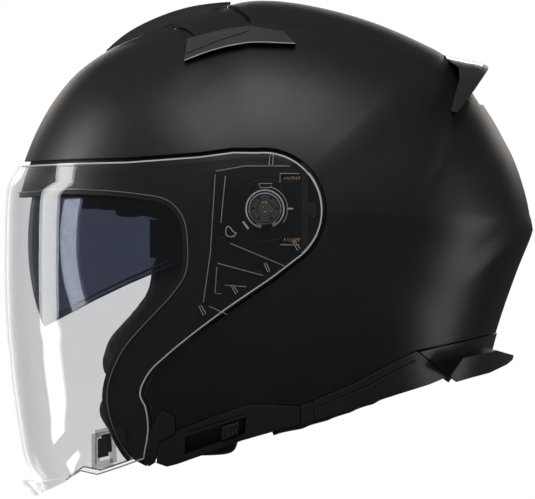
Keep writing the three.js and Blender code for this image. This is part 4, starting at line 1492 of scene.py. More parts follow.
@dataclass
class PivotWork:
    """The mechanism under each ear of the visor: plate, ribs, ring, hub, catch and springs."""

    shop: Workshop
    base_radius: float = 34.4
    top: float = 0.9
    catch_edge: float = 20.9
    spring_heights: tuple[float, float] = (17.5, -17.6)
    ring_outer: float = 11.2
    ring_inner: float = 9.3

    def _room(self, gap: float, travel: float) -> Solid:
        """The room that the release catch moves in."""
        bar = block(
            (4 + 2 * gap + travel, 4 * WIDE, 42 + 2 * gap), (self.catch_edge + 2 - travel / 2, 0, 0)
        )
        tab = block(
            (5 + gap + travel, 4 * WIDE, 7 + 2 * gap),
            (self.catch_edge + 4 + (5 + gap - travel) / 2 - 0.5, 0, 0),
        )
        return bar + tab

    def _plate(self, side: Side) -> Solid:
        """The plate that holds the mechanism."""
        outline = [
            (-41.5, -69.5), (-36.6, -54), (-32.5, -25), (-29.5, 22.4), (-12, 25.9), (15.5, 25.9),
            *arc((0, 0), self.base_radius, 50, -58, 36), (4, -40.6), (-26.1, -61.6),
        ]
        base = plate(outline, self.top, POCKET_DEPTH - CLEARANCE, side) - self._room(0.4, 2.5)
        for z in self.spring_heights:
            base = base - block((11.4, 4 * WIDE, 3.8), (self.catch_edge - 5.5, 0, z))
        groove = pin(18.4, -WIDE, WIDE) - pin(17.6, -WIDE, WIDE)
        shallow = layer(self.top - 0.2, self.top + 0.5)
        base = base - (groove & shallow) - pin(2.8, -WIDE, WIDE)
        dishes = [
            ((-23.5, -13.0), 3.4), ((-3, -33.5), 2.3), ((-18, -47.0), 2.3), ((-35, -58.5), 2.3),
            ((17, -21.2), 2.4)
        ]
        for at, radius in dishes:
            base = base - (pin(radius, -WIDE, WIDE, at, 28) & layer(self.top - 0.2, self.top + 1.2))
        return base

    def _ribs(self, side: Side) -> Solid:
        """Low raised lines on the plate."""
        lines = [
            [(-28.2, 21.6), (-11.8, 24.6), (14.6, 24.6)],
            [(-28.4, 20), (-31.2, -25), (-35.2, -53.5)],
            [(-22.6, 19), (-25.2, -8)],
            [(-20, -19.5), (11, -32.5)],
            [(-27, -31), (-1, -38)],
            arc((0, 0), 32.6, 40, -50, 30),
            arc((0, 0), 12.9, 78, -38, 24),
            [(-3.6, 14.6), (-2.6, 12.2), (3, 12.2), (4.1, 14.6), (-3.6, 14.6)],
            [(8.6, 15.0), (8.6, 20.3), (20.0, 20.3)],
            [(8.8, -20.4), (19.6, -20.6)],
            [(-27.5, -33), (-28.5, -48), (-25, -48.5)],
            [(-23, -43.5), (-10.5, -44.4)],
            [(-32, -55.5), (-20, -61)],
        ]
        ribs = None
        for line in lines:
            rib = plate(stroke(line, 0.55), self.top - 0.55, self.top + 0.3, side)
            ribs = rib if ribs is None else ribs + rib
        return ribs

    def _clear_trim(self, side: Side) -> Solid:
        """The clear ring, open below, and the small clear posts."""
        trim = None
        for outer, inner in (
            (self.ring_outer, self.ring_outer - 0.85), (self.ring_inner, self.ring_inner - 0.5)
        ):
            ring = [*arc((0, 0), outer, -58, 250, 60), *arc((0, 0), inner, 250, -58, 60)]
            made = plate(ring, -0.35, self.top + 0.2, side)
            trim = made if trim is None else trim + made
        for turn in (-58, 250):
            foot = arc((0, 0), (self.ring_outer + self.ring_inner) / 2 - 0.3, turn - 8, turn + 8, 8)
            trim = trim + plate(stroke(foot, 2.4), -0.35, self.top + 0.2, side)
        posts = [
            [(2.0, 25.2), (4.6, 25.2), (5.0, 31.6), (2.8, 31.6)],
            [(15.6, -18.6), (17.2, -18.4), (20.4, -22.6), (18.4, -23.6)],
            [(-0.8, -31.0), (0.9, -30.8), (3.0, -35.4), (1.4, -36)],
            [(-19.6, -43.4), (-18, -43.2), (-15.2, -47.6), (-17, -48.6)],
            [(-38.0, -55.4), (-36.2, -55), (-33.6, -59.6), (-35.4, -60.8)],
        ]
        for post in posts:
            wall = plate(post, -0.3, self.top + 0.25, side) - prism(grow(post, -0.45))
            trim = trim + wall
        return trim

    def _boss(self, side: Side) -> Solid:
        """The outlined boss in front of the hub, and the two marks beside the hub."""
        heart = curve_through(
            [(-22.2, -10.4), (-20.8, -9.6), (-19.4, -10.8), (-18, -12.6), (-16.4, -13.6),
             (-17.4, -15.6),
             (-20.4, -16), (-22.4, -14.6)],
            closed=True,
        )
        lobes = plate(heart, -0.1, self.top + 0.3, side) - prism(grow(heart, -0.55))
        bar = plate(stroke([(12.4, 0.2), (16.2, 0.2)], 1.0), self.top - 0.4, self.top + 0.3, side)
        foot = plate(
            stroke([(-12.6, -7.2), (-9.4, -11.4)], 1.2), self.top - 0.4, self.top + 0.3, side
        )
        return lobes + bar + foot

    def _hub(self, side: Side) -> Solid:
        """The round hub that holds the visor's ear."""
        face = SHELL_HALF_WIDTH + VISOR_GAP + VISOR_WALL + 0.3
        s = side.value
        hub = pin(9, s * (SHELL_HALF_WIDTH - self.top + CLEARANCE), s * face, sides=64) - pin(
            2.8, -WIDE, WIDE
        )
        hub = hub - pin(4.5, s * (face - 2), s * (face + 5))
        for turn in range(0, 360, 60):
            at = (6.7 * math.cos(math.radians(turn)), 6.7 * math.sin(math.radians(turn)))
            hub = hub - pin(0.9, s * (face - 0.7), s * (face + 4), at, 20)
        rim = pin(8.2, s * (face - 0.35), s * (face + 4), sides=64) - pin(
            7.7, s * (face - 1), s * (face + 5), sides=64
        )
        return hub - rim

    def _bolt(self, side: Side) -> Solid:
        """The bolt through the hub, with a star recess."""
        face = SHELL_HALF_WIDTH + VISOR_GAP + VISOR_WALL + 0.3
        s = side.value
        bolt = pin(4.2, s * (face - 1.6), s * (face + 0.1), sides=40)
        bolt = bolt + pin(2.5, s * (SHELL_HALF_WIDTH - 6.5), s * (face - 1), sides=24)
        star = []
        for i in range(12):
            turn = math.radians(i * 30)
            reach = 1.9 if i % 2 == 0 else 1.25
            star.append((reach * math.cos(turn), reach * math.sin(turn)))
        return bolt - prism(
            star, min(s * (face - 0.9), s * (face + 2)), max(s * (face - 0.9), s * (face + 2))
        )

    def build(self) -> None:
        """Makes both pivots."""
        for side in Side:
            word = side.word
            self.shop.stand_in(
                f"pivot_plate_{word}", self._plate(side), Finish.PLATE, f"pivot_base_{word}"
            )
            # The ribs are light grey: painted highlight lines on the dark plate.
            self.shop.fit(f"pivot_ribs_{word}", self._ribs(side), Finish.RIB, "helmet")
            # The boss and the clear trim are opaque light grey: painted highlights on clear plastic.
            self.shop.fit(f"pivot_boss_{word}", self._boss(side), Finish.CLEAR_EDGE, "helmet")
            self.shop.fit(
                f"pivot_clear_trim_{word}", self._clear_trim(side), Finish.CLEAR_EDGE, "helmet"
            )
            self.shop.stand_in(f"hub_{word}", self._hub(side), Finish.HUB, f"pivot_hub_{word}")
            self.shop.stand_in(f"bolt_{word}", self._bolt(side), Finish.BOLT, f"pivot_bolt_{word}")
            catch = layer(self.top + 0.2, POCKET_DEPTH - CLEARANCE) & half(side) & self._room(0, 0)
            self.shop.stand_in(
                f"release_catch_{word}", catch, Finish.SATIN, f"visor_release_{word}"
            )
            for z, word_z in zip(self.spring_heights, ("upper", "lower")):
                middle = self.catch_edge - CLEARANCE - 5.2
                y = side.value * (half_width_at(middle, z, POCKET_DEPTH) + CLEARANCE + 1.4)
                name = f"release_spring_{word_z}_{word}"
                ends = ((middle - 4.85, y, z), (middle + 4.85, y, z))
                spring = coil(f"coil_{word_z}_{word}", *ends, 1.2, 0.24, 7, Finish.COPPER)
                reach = [tuple(v * MILLIMETRE for v in point) for point in ends]
                self.shop.mount(
                    spring, Finish.COPPER, "helmet", [name], stretch=(f"release_{word}", *reach)
                )


# ---------------------------------------------------------------- sun visor


@dataclass
class DropVisor:
    """The tinted sun visor inside the shell, its pins, its slider knob and cable."""

    shop: Workshop
    pivot: Pair = (4.2, -18.8)
    wall: float = 2.0
    half_width: float = 116.5
    notch_top: float = -47.5
    rise: float = 20.5

    def radius(self) -> float:
        """The largest round that stays inside the shell all the way up the travel."""
        room = math.inf
        for degrees in range(20, 49, 2):
            turn = math.radians(degrees)
            reach = 60.0
            while True:
                x = self.pivot[0] - reach * math.cos(turn)
                z = self.pivot[1] + reach * math.sin(turn)
                if math.hypot(x, z) >= float(SHELL_PROFILE(math.atan2(z, -x))) - SHELL_WALL:
                    break
                reach += 0.1
            room = min(room, reach)
        return room - 1.1

    def egg(self, radius: float, depth: float) -> Solid:
        """The visor's round egg at a depth."""
        return egg(
            lambda a: np.full(np.shape(a), radius - depth), self.half_width - depth, self.pivot,
            turns=160, rings=72
        )

    def build(self) -> None:
        """Makes the lens, its pins and the knob."""
        radius = self.radius()
        px, pz = self.pivot
        outline: Outline = []
        for degrees in np.linspace(15.5, -28.5, 12):
            turn = math.radians(float(degrees))
            outline.append((px - 200 * math.cos(turn), pz + 200 * math.sin(turn)))
        outline += [(-128.5, -68.3), (-99.8, -53), (-79.8, -43.4), (-53.1, -32), (-20, -30)]
        outline += arc(self.pivot, 9, -100, 60, 16)
        outline += [(-16, -8), (-38, 4), (-50, 17), (-70, 21)]
        top = math.radians(15.5)
        outline.append((px - 120 * math.cos(top), pz + 120 * math.sin(top)))
        lens = (self.egg(radius, 0) - self.egg(radius, self.wall)) & prism(outline)
        across = curve_through(
            [
                (-26, self.notch_top - self.rise - 6), (-14, self.notch_top - self.rise * 0.75),
                (0, self.notch_top), (14, self.notch_top - self.rise * 0.75),
                (26, self.notch_top - self.rise - 6),
            ]
        )
        count = len(across)
        verts = [(px - 170, y, z) for y, z in across] + [(px - 50, y, z) for y, z in across]
        faces = [tuple(range(count)), tuple(range(2 * count - 1, count - 1, -1))]
        faces += [((i + 1) % count, i, count + i, count + (i + 1) % count) for i in range(count)]
        lens = lens - Solid(verts, faces) - pin(3.4, -WIDE, WIDE, self.pivot)
        self.shop.stand_in("sun_visor_lens", lens, Finish.SMOKE, "sun_visor", crease=24)
        lower = [(-128.5, -68.3), (-99.8, -53), (-79.8, -43.4), (-53.1, -32)]
        for lift in (0.0, 2.6):
            line = ribbon(curve_through(lower), -lift - 0.7, -lift)
            edge = (self.egg(radius, -0.05) - self.egg(radius, 0.8)) & prism(line)
            self.shop.fit(f"lens_edge_{int(lift)}", edge, Finish.LENS_EDGE, "sun_visor")
        for side in Side:
            s = side.value
            inner, outer = self.half_width - self.wall - 1.2, self.half_width + 0.3
            peg = pin(3, s * inner, s * outer, self.pivot) + pin(
                5, s * inner, s * (inner + 0.8), self.pivot
            )
            name = f"sun_visor_pin_{side.word}"
            self.shop.stand_in(f"lens_pin_{side.word}", peg, Finish.STEEL, name)
        knob = [(-24.6, -124.6), (-15.1, -121.4), (-15.7, -129.2), (-24.6, -132.4)]
        self.shop.stand_in(
            "slider_knob", plate(knob, -2.6, 4.5, Side.LEFT), Finish.SATIN, "sun_visor_knob"
        )
        for i in range(5):
            share = 0.1 + 0.2 * i
            top_at = (-24.6 + 9.5 * share, -124.6 + 3.2 * share - 0.5)
            low_at = (-24.6 + 8.9 * share, -132.4 + 3.2 * share + 0.5)
            ridge = plate(stroke([low_at, top_at], 0.9), -4.0, -2.2, Side.LEFT)
            self.shop.fit(f"knob_ridge_{i + 1}", ridge, Finish.SATIN, "sun_visor_knob")
        self.shop.dress("control_cable", Finish.RUBBER)


# ---------------------------------------------------------------- lower trims


@dataclass
class LowerTrims:
    """The caps, the slider housing and the trims that end the shell below."""

    shop: Workshop
    front_cap: tuple[Pair, ...] = (
        (-58.8, -115), (-51.9, -118.8), (-51.6, -128.7), (-60.7, -133.7), (-62.9, -145.3),
        (-66.5, -147.6), (-69.4, -145.4), (-68, -143.4), (-65.4, -126.6), (-60.9, -117.9),
    )
    slider: tuple[Pair, ...] = (
        (-51, -127.1), (-29.6, -118.6), (-9.3, -112.2), (20.1, -112.7), (20.1, -123), (
            -13.3, -132.6
        ),
        (-37.7, -141.7), (-50.6, -146.3), (-56.3, -147.7), (-62.4, -145.5), (-60.3, -134.1), (
            -51.2, -129.1
        ),
    )
    slot: tuple[Pair, ...] = (
        (-46.0, -130.6), (-10.8, -119.0), (-11.4, -128.8), (-46.0, -140.4),
    )
    clip: tuple[Pair, ...] = ((20.5, -112.7), (27.2, -110.3), (27.4, -121.6), (20.6, -123.7))
    rear: tuple[Pair, ...] = (
        (27.6, -110), (49.9, -100.4), (86.4, -81.5), (88, -82.2), (105.3, -96.1), (94.5, -100.6),
        (77.5, -105.8), (27.8, -121.4),
    )
    neck: tuple[Pair, ...] = (
        (88.6, -81.8), (134.6, -71.6), (160, -71.6), (160, -96), (128, -94.6), (110, -99.4), (
            105.9, -96
        ),
    )
    flange: tuple[Pair, ...] = (
        (114, -85.5), (134, -81.5), (146.2, -85), (139.8, -89.5), (129.3, -94.1), (110, -98.9), (
            106.5, -95.8
        ),
    )

    def build(self) -> None:
        """Makes the trims on both sides and the neck piece."""
        for side in Side:
            word = side.word
            cap = plate(self.front_cap, -TRIM_PROUD, TRIM_DEPTH, side)
            self.shop.stand_in(f"corner_cap_{word}", cap, Finish.SATIN, f"front_cap_{word}")
            clip = plate(self.clip, -TRIM_PROUD - 1.2, TRIM_DEPTH - 3, side)
            self.shop.stand_in(f"trim_clip_{word}", clip, Finish.SATIN, f"joint_clip_{word}")
            rear = plate(self.rear, -TRIM_PROUD, TRIM_DEPTH, side)
            seam = plate(
                stroke([(30, -113.6), (60, -100.6), (86, -86.6)], 0.6), -2, -TRIM_PROUD + 0.7, side
            )
            self.shop.stand_in(
                f"rear_side_trim_{word}", rear - seam, Finish.SATIN, f"rear_trim_{word}"
            )
        housing = plate(self.slider, -TRIM_PROUD, TRIM_DEPTH, Side.LEFT)
        housing = housing - plate(self.slot, -2, 5.5, Side.LEFT)
        grip = plate(stroke([(-44, -127.6), (-12, -117.6)], 0.7), -2, -TRIM_PROUD + 0.6, Side.LEFT)
        self.shop.stand_in("slider_rail", housing - grip, Finish.SATIN, "slider_housing_left")
        blank = plate(self.slider, -TRIM_PROUD, TRIM_DEPTH, Side.RIGHT)
        self.shop.stand_in("side_trim_blank", blank, Finish.SATIN, "side_trim_right")
        collar = layer(-TRIM_PROUD, TRIM_DEPTH) & prism(self.neck)
        flange = layer(-14, TRIM_DEPTH) & prism(self.flange)
        for side in Side:
            lap = stroke([(86.4, -80.2), (107.6, -97.6)], 6)
            collar = collar + plate(lap, TRIM_DEPTH + 0.1, TRIM_DEPTH + 1.2, side)
        collar = collar + (
            layer(TRIM_DEPTH - 1, TRIM_DEPTH + 1.2) & prism(
                [(92, -84), (112, -88), (112, -97), (106.5, -96.6)]
            )
        )
        self.shop.stand_in("neck_band", collar + flange, Finish.SATIN, "neck_piece")


# ---------------------------------------------------------------- vents and spoiler


@dataclass
class TopVent:
    """The crown's vent: a glossy ridge, a swept shutter and a glossy wing on each side."""

    shop: Workshop
    ridge_plan: tuple[Pair, ...] = (
        (-92, -1.5), (-62, -9), (-27, -9), (-20, -4), (-20, 4), (-27, 9), (-62, 9), (-92, 1.5),
    )
    wing: tuple[Pair, ...] = (
        (-46.4, 85.1), (-44.7, 98.4), (-23.8, 103.6), (-9.3, 105.4), (10.4, 102.5), (17.7, 94.9),
        (-8.1, 95.5), (-23.8, 92.9), (-35.4, 89.4),
    )

    def _panel(self, sign: int, gap: float = 0.0) -> Solid:
        """One half of the shutter, as a column."""
        return column(
            [
                (-53.4 - gap, sign * 10), (-39.4 - gap, sign * 61), (-10.5 + gap, sign * 65),
                (-26.7 + gap, sign * 10)
            ],
            60, 160,
        )

    def build(self) -> None:
        """Makes the ridge, the shutter and the wings."""
        ridge = egg(
            lambda a: np.maximum(RIDGE_PROFILE(a), 20), SHELL_HALF_WIDTH, turns=300, rings=120
        )
        ridge = (ridge - shell_egg(-CLEARANCE)) & column(self.ridge_plan, 60, 160)
        feet = column([(-59.2, -8.6), (-53, -8.6), (-53, 8.6), (-59.2, 8.6)], 60, 160)
        feet = feet + column([(-30.4, -8.6), (-21.8, -8.6), (-21.8, 8.6), (-30.4, 8.6)], 60, 160)
        ridge = ridge + (layer(-CLEARANCE - 0.2, 2.7) & feet)
        self.shop.stand_in("vent_spine", ridge, Finish.GLOSS, "vent_ridge")
        bridge = column([(-48, -11), (-31, -11), (-31, 11), (-48, 11)], 60, 160)
        plan = self._panel(-1) + self._panel(1) + bridge
        self.shop.stand_in("vent_panel", layer(0, 2.1) & plan, Finish.PAINT, "vent_shutter")
        for side in Side:
            wing = plate(self.wing, -4, -CLEARANCE, side) - self._panel(side.value, 5)
            facet = [
                (-45.6, 89.5), (-44.2, 97.6), (-23.8, 102.9), (-9.5, 104.2), (-9.2, 102.8),
                (-27, 97)
            ]
            wing = wing + plate(facet, -4.5, -3.8, side)
            name = f"vent_wing_{side.word}"
            self.shop.stand_in(f"wing_{side.word}", wing, Finish.GLOSS, name)
            # A thin light grey strip along the wing's lower edge: a painted highlight line.
            low = curve_through(
                [(-46.2, 85.4), (-35.4, 89.6), (-23.8, 93.1), (-8.1, 95.8), (17.2, 95.2)]
            )
            edge = plate(stroke(low, 0.5), -4.15, -3.4, side)
            self.shop.fit(f"wing_edge_{side.word}", edge, Finish.RIB, "helmet")


@dataclass
class Spoiler:
    """The rear spoiler, the tinted strip on top of it and the exhaust grille under it."""

    shop: Workshop
    outline: tuple[Pair, ...] = (
        (103, 90.6), (129.1, 83.9), (129.1, 81), (120.6, 68.8), (110.2, 55.5), (107, 56), (
            108.8, 64.8
        ),
        (112, 75.2), (111.7, 81.6), (105, 87.2),
    )

    def _egg(self, depth: float) -> Solid:
        """The spoiler's egg at a depth."""
        return egg(
            lambda a: SPOILER_PROFILE(a) - depth, SHELL_HALF_WIDTH + 3 - depth, turns=260, rings=110
        )

    def _zone(self, gap: float = 0.0) -> Solid:
        """The part of the spoiler that the strip covers."""
        return block((21 + 2 * gap, 72 + 2 * gap, 60), (115.5, 0, 84))

    def build(self) -> None:
        """Makes the body, the strip and the grille."""
        keep = prism(self.outline)
        body = (self._egg(0) - shell_egg(-CLEARANCE)) & keep
        seat = (self._egg(-5) - self._egg(1.9)) & self._zone(CLEARANCE)
        self.shop.stand_in("spoiler_wing", body - seat, Finish.SATIN, "spoiler_body")
        lens = ((self._egg(0) - self._egg(1.6)) - shell_egg(-CLEARANCE)) & keep & self._zone()
        self.shop.stand_in("spoiler_strip", lens, Finish.SMOKE, "spoiler_lens")
        grille = layer(0.6, 2.1) & block((40, 60, 11), (125, 0, 66.5))
        for i in range(9):
            grille = grille - block((60, 3.6, 8), (125, -26 + 6.5 * i, 66.5))
        self.shop.stand_in("exhaust_slats", grille, Finish.SATIN, "exhaust_grille")


# ---------------------------------------------------------------- padding


@dataclass
class Padding:
    """The foam, the gasket and the padded lining."""

    shop: Workshop
    voxel: float = 0.0045
    pressure: float = 4.0
    frames: int = 20
    cap: float = 0.0045
    inset: float = 0.0012
    foam: Pair = (7, 36)
    pads: dict[str, float] = field(
        default_factory=lambda: {
            "cheek_pad_left": 0.7, "cheek_pad_right": 0.7, "crown_liner": 0.6, "neck_roll": 0.75
        }
    )

    def _swell(self, piece: bpy.types.Object) -> None:
        """Blows a pad up a little with a cloth simulation and keeps the result."""
        rest = np.array([v.co for v in piece.data.vertices], float)
        cloth = piece.modifiers.new("cloth", "CLOTH")
        cloth.settings.use_pressure = True
        cloth.settings.uniform_pressure_force = self.pressure
        cloth.settings.effector_weights.gravity = 0
        cloth.settings.quality = 4
        cloth.settings.tension_stiffness = 12
        cloth.settings.bending_stiffness = 0.6
        cloth.collision_settings.use_collision = False
        cloth.point_cache.frame_start, cloth.point_cache.frame_end = 1, self.frames
        scene = bpy.context.scene
        for frame in range(1, self.frames + 1):
            scene.frame_set(frame)
        depsgraph = bpy.context.evaluated_depsgraph_get()
        swollen = piece.evaluated_get(depsgraph).to_mesh()
        moved = np.array([v.co for v in swollen.vertices], float)
        piece.evaluated_get(depsgraph).to_mesh_clear()
        piece.modifiers.remove(cloth)
        scene.frame_set(1)
        step = moved - rest
        size = np.linalg.norm(step, axis=1, keepdims=True)
        step *= np.minimum(1, self.cap / np.maximum(size, 1e-9))
        piece.data.vertices.foreach_set("co", (rest + step).ravel())
        piece.data.update()

    def _pad(self, node: str, fill: float) -> None:
        """Makes one padded piece from its plain solid."""
        mesh = self.shop.nodes[node].data.copy()
        shape = bmesh.new()
        shape.from_mesh(mesh)
        bmesh.ops.remove_doubles(shape, verts=shape.verts, dist=1e-5)
        bmesh.ops.recalc_face_normals(shape, faces=shape.faces)
        shape.normal_update()
        for vert in shape.verts:
            vert.co -= vert.normal * self.inset
        shape.to_mesh(mesh)
        shape.free()
        piece = self.shop.shape(f"{node}_padding", mesh, Finish.LINING, 180)
        remesh = piece.modifiers.new("remesh", "REMESH")
        remesh.mode, remesh.voxel_size, remesh.use_smooth_shade = "VOXEL", self.voxel, True
        relax = piece.modifiers.new("relax", "SMOOTH")
        relax.factor, relax.iterations = 0.5, 6
        depsgraph = bpy.context.evaluated_depsgraph_get()
        even = bpy.data.meshes.new_from_object(piece.evaluated_get(depsgraph))
        piece.modifiers.clear()
        piece.data = even
        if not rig.quick():
            self._swell(piece)
        piece.data.materials.clear()
        piece.data.materials.append(Finish.LINING.material())
        fine = piece.modifiers.new("fine", "SUBSURF")
        fine.levels = fine.render_levels = 1
        piece.data.shade_smooth()
        self.shop.mount(piece, Finish.LINING, node, [node])
        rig.padded(piece, fill=fill)

    def _foam(self) -> Solid:
        """The bead foam between the shell and the lining."""
        keep = prism(
            [
                (-200, 9), (-110, 7), (-64, 3), (-58, -16), (-12, -16), (-2, -22), (0, -84), (
                    12, -99
                ),
                (45, -91), (85, -73), (125, -62), (200, -60), (200, 200), (-200, 200),
            ]
        )
        drop = DropVisor(self.shop)
        px, pz = drop.pivot
        way: Outline = []
        for degrees in (-45, -20, 10, 35, 58):
            turn = math.radians(degrees)
            way.append((px - 260 * math.cos(turn), pz + 260 * math.sin(turn)))
        way += [(12, 34), (24, 10), (26, -20), (14, -38), (-30, -42)]
        room = prism(way) - drop.egg(drop.radius(), drop.wall + 1.6)
        return (layer(*self.foam) & keep) - room

    def build(self) -> None:
        """Makes the foam, the gasket and every pad."""
        self.shop.stand_in("bead_foam_liner", self._foam(), Finish.FOAM, "foam_liner")
        band = prism(ribbon(EYE_EDGE[:-9], CLEARANCE, 3.2))
        self.shop.stand_in("eye_edge_rubber", layer(2.7, 7.3) & band, Finish.RUBBER, "eye_gasket")
        # A fine pale band at the gasket's inner edge: a painted highlight line.
        bead = prism(ribbon(EYE_EDGE[:-9], 0.1, 0.65))
        self.shop.fit("eye_edge_bead", layer(1.9, 3.4) & bead, Finish.BEAD, "helmet")
        bridge = layer(22, 34) & prism([(-66, -6), (-42, -6), (-42, -28), (-66, -28)])
        self.shop.fit("lining_bridge", bridge, Finish.LINING, "helmet")
        for node, fill in self.pads.items():
            self._pad(node, fill)


# ---------------------------------------------------------------- chin strap


@dataclass
class ChinStrap:
    """The woven strap with its ratchet buckle."""

    shop: Workshop
    centre_x: float = 4.0
    bottom: float = -123.0
    tilt: float = 12.0
    width: float = 24.0
    thickness: float = 1.8
    pivot_z: float = -72.0

    def _run(self, side: Side) -> np.ndarray:
        """The middle line of one strap, as y and z."""
        s = side.value
        points = [
            (s * 76.6, -70), (s * 74, -80), (s * 67, -92), (s * 59, -102),
            (s * 45, self.bottom + 11)
        ]
        ends = {
            Side.LEFT: [(-29, self.bottom + 1), (-18.3, self.bottom)],
            Side.RIGHT: [(38, self.bottom + 2.6), (32.6, self.bottom + 1)],
        }
        points += ends[side]
        return np.array(curve_through(points, steps=6))

    def _place(self, at: np.ndarray) -> np.ndarray:
        """Moves points from the strap's own plane to the tilted one."""
        turn = math.radians(self.tilt)
        x, y, z = at[:, 0], at[:, 1], at[:, 2] - self.pivot_z
        return np.stack(
            [
                self.centre_x + x * math.cos(turn) + z * math.sin(turn),
                y,
                self.pivot_z - x * math.sin(turn) + z * math.cos(turn),
            ],
            axis=1,
        )

    def _strap(self, side: Side) -> Solid:
        """A flat woven strap with thicker edges."""
        line = self._run(side)
        along = np.gradient(line, axis=0)
        along /= np.linalg.norm(along, axis=1, keepdims=True)
        normal = np.stack([-along[:, 1], along[:, 0]], axis=1)
        half_w, t = self.width / 2, self.thickness / 2
        section = [
            (-1, -0.6), (-0.96, -1), (-0.88, -1), (-0.84, -0.7), (0.84, -0.7), (0.88, -1),
            (0.96, -1), (1, -0.6)
        ]
        section += [(u, -v) for u, v in reversed(section)]
        verts, faces = [], []
        for at, out in zip(line, normal):
            for u, v in section:
                verts.append((u * half_w, at[0] + out[0] * v * t, at[1] + out[1] * v * t))
        count = len(section)
        for i in range(len(line) - 1):
            for j in range(count):
                k = (j + 1) % count
                faces.append(
                    (i * count + j, i * count + k, (i + 1) * count + k, (i + 1) * count + j)
                )
        faces.append(tuple(range(count - 1, -1, -1)))
        last = (len(line) - 1) * count
        faces.append(tuple(range(last, last + count)))
        return Solid(self._place(np.array(verts)), faces)

    def _block(self, size: Sequence[float], at: Sequence[float]) -> Solid:
        """A box in the strap's tilted plane."""
        made = block(size, at)
        corners = np.array([v.co for v in made.mesh.vertices])
        made.mesh.vertices.foreach_set("co", self._place(corners).ravel())
        made.mesh.update()
        return made

    def build(self) -> None:
        """Makes both straps, their stitches and the buckle."""
        for side in Side:
            word = side.word
            self.shop.stand_in(
                f"woven_strap_{word}", self._strap(side), Finish.WEBBING, f"strap_{word}", crease=50
            )
            line = self._run(side)
            along = np.gradient(line, axis=0)
            along /= np.linalg.norm(along, axis=1, keepdims=True)
            normal = np.stack([-along[:, 1], along[:, 0]], axis=1)
            normal *= np.sign(np.sum(normal * line, axis=1, keepdims=True))
            for edge in (-8.5, 8.5):
                lifted = line + normal * self.thickness * 0.42
                path = self._place(
                    np.column_stack([np.full(len(line), edge), lifted[:, 0], lifted[:, 1]])
                )
                out = np.column_stack([np.zeros(len(line)), normal[:, 0], normal[:, 1]])
                name = f"strap_stitches_{word}_{'front' if edge < 0 else 'back'}"
                rows = row_along(name, path, out, 3.2, (2.3, 0.55, 0.5), Finish.WEBBING)
                self.shop.mount(rows, Finish.WEBBING, "helmet")
            name = f"strap_anchor_{word}"
            self.shop.dress(name, Finish.STEEL)
        wide = self.width + 2
        body = self._block((wide, 36, 8), (0, 0, self.bottom)) - self._block(
            (15, 38, 3.4), (0, 0, self.bottom)
        )
        body = body - self._block((wide - 6, 28, 2.2), (0, -5, self.bottom - 4))
        self.shop.stand_in("ratchet_body", body, Finish.STEEL, "buckle_body", soften=0.6)
        lever = self._block((19, 26, 2.6), (0, -5, self.bottom - 4.5)) + self._block(
            (16, 5, 2.6), (0, -19, self.bottom - 5.2)
        )
        self.shop.stand_in("ratchet_lever", lever, Finish.LEVER, "buckle_lever", soften=0.6)
        tongue = self._block((13, 44, 2.2), (0, 10, self.bottom))
        self.shop.stand_in(
            "ratchet_tongue_bar", tongue, Finish.TONGUE, "ratchet_tongue", soften=0.4
        )
        ys = np.linspace(19.5, 31, 8)
        path = self._place(np.column_stack([np.zeros(8), ys, np.full(8, self.bottom + 1.1)]))
        teeth = row_along(
            "tongue_teeth", path, np.tile((0.2, 0, 0.98), (8, 1)), 1.6, (0.8, 11, 0.9),
            Finish.TONGUE, False
        )
        self.shop.mount(teeth, Finish.TONGUE, "helmet")


# ---------------------------------------------------------------- studio


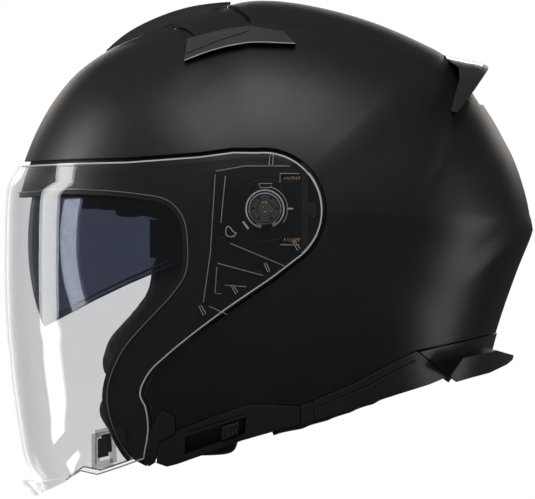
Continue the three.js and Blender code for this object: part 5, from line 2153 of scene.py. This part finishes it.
@dataclass
class Studio:
    """The camera, the pale floor and the soft lights."""

    distance: float = 8.0
    frame_width: float = 0.3103
    centre: tuple[float, float, float] = (0.00145, 0.0, -0.0231)
    floor_height: float = -0.1675
    backdrop: float = 1.0
    ambient: float = 0.075

    def _camera(self) -> None:
        """Sets a long lens square to the helmet's left side."""
        data = bpy.data.cameras.new("side_camera")
        data.sensor_width = 36.0
        data.lens = data.sensor_width * self.distance / self.frame_width
        data.clip_end = 60
        camera = bpy.data.objects.new("side_camera", data)
        camera.location = (self.centre[0], self.centre[1] - self.distance, self.centre[2])
        camera.rotation_euler = (math.pi / 2, 0, 0)
        bpy.context.scene.collection.objects.link(camera)
        bpy.context.scene.camera = camera

    def _light(self, name: str, at: Sequence[float], aim: Sequence[float], size: Pair, power: float,
               colour: Sequence[float] = (1, 1, 1)) -> None:
        """Adds a soft rectangular light."""
        data = bpy.data.lights.new(name, "AREA")
        data.shape, data.size, data.size_y = "RECTANGLE", size[0], size[1]
        data.energy, data.color = power, tuple(colour)
        light = bpy.data.objects.new(name, data)
        light.location = at
        light.rotation_euler = (Vector(aim) - Vector(at)).to_track_quat("-Z", "Y").to_euler()
        light.visible_camera = False
        bpy.context.scene.collection.objects.link(light)

    def _world(self) -> None:
        """A white surround that lights the helmet only dimly."""
        world = bpy.data.worlds.new("surround")
        world.use_nodes = True
        tree = world.node_tree
        tree.nodes.clear()
        path = tree.nodes.new("ShaderNodeLightPath")
        bright = tree.nodes.new("ShaderNodeBackground")
        bright.inputs["Strength"].default_value = self.backdrop
        bright.inputs["Color"].default_value = (1, 1, 1, 1)
        dim = tree.nodes.new("ShaderNodeBackground")
        dim.inputs["Color"].default_value = (0.93, 0.96, 1, 1)
        dim.inputs["Strength"].default_value = self.ambient
        mix = tree.nodes.new("ShaderNodeMixShader")
        out = tree.nodes.new("ShaderNodeOutputWorld")
        tree.links.new(path.outputs["Is Camera Ray"], mix.inputs[0])
        tree.links.new(dim.outputs[0], mix.inputs[1])
        tree.links.new(bright.outputs[0], mix.inputs[2])
        tree.links.new(mix.outputs[0], out.inputs[0])
        bpy.context.scene.world = world

    def _floor(self) -> None:
        """A plain pale floor."""
        mesh = bpy.data.meshes.new("studio_floor")
        reach = 7.0
        h = self.floor_height
        mesh.from_pydata(
            [(-reach, -reach, h), (reach, -reach, h), (reach, reach, h), (-reach, reach, h)], [],
            [(0, 1, 2, 3)]
        )
        s = Shader("pale_floor")
        mesh.materials.append(
            s.done(
                s.surface(
                    Base_Color=(0.02, 0.02, 0.02, 1), Roughness=0.9, Emission_Color=(1, 1, 1, 1),
                    Emission_Strength=1.0
                )
            )
        )
        floor = bpy.data.objects.new("studio_floor", mesh)
        floor.visible_glossy = floor.visible_diffuse = False
        bpy.context.scene.collection.objects.link(floor)
        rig.stage(floor)

    def build(self) -> None:
        """Sets up everything round the helmet."""
        bpy.context.scene.view_settings.view_transform = "Standard"
        self._camera()
        self._world()
        self._floor()
        self._light("top_softbox", (-0.1, -1.4, 1.76), (0, 0, 0.02), (1.7, 1.9), 31)
        self._light("front_strip", (-1.52, 0.19, 0.0), (0, 0, -0.03), (0.42, 1.8), 17)
        self._light("crown_rim", (0.1, 1.75, 0.42), (0, 0, 0.1), (1.9, 0.28), 5, (1.0, 0.93, 0.86))
        self._light("rear_fill", (1.6, -0.16, -0.35), (0, 0, -0.03), (0.6, 1.0), 7)


def main() -> None:
    """Builds the helmet piece by piece round its frame."""
    logging.basicConfig(level=logging.INFO, format="%(message)s")
    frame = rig.load()
    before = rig.bounds()
    Studio().build()
    shop = Workshop(frame)
    for part in (
        ShellWork, ClearVisor, PivotWork, DropVisor, LowerTrims, TopVent, Spoiler, Padding,
        ChinStrap
    ):
        part(shop).build()
        LOG.info("%s done", part.__name__)
    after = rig.bounds()
    with open(SIZE_FILE, "w", encoding="utf-8") as out:
        json.dump({"cad": [list(p) for p in before], "visual": [list(p) for p in after]}, out)


if __name__ == "__main__":
    main()
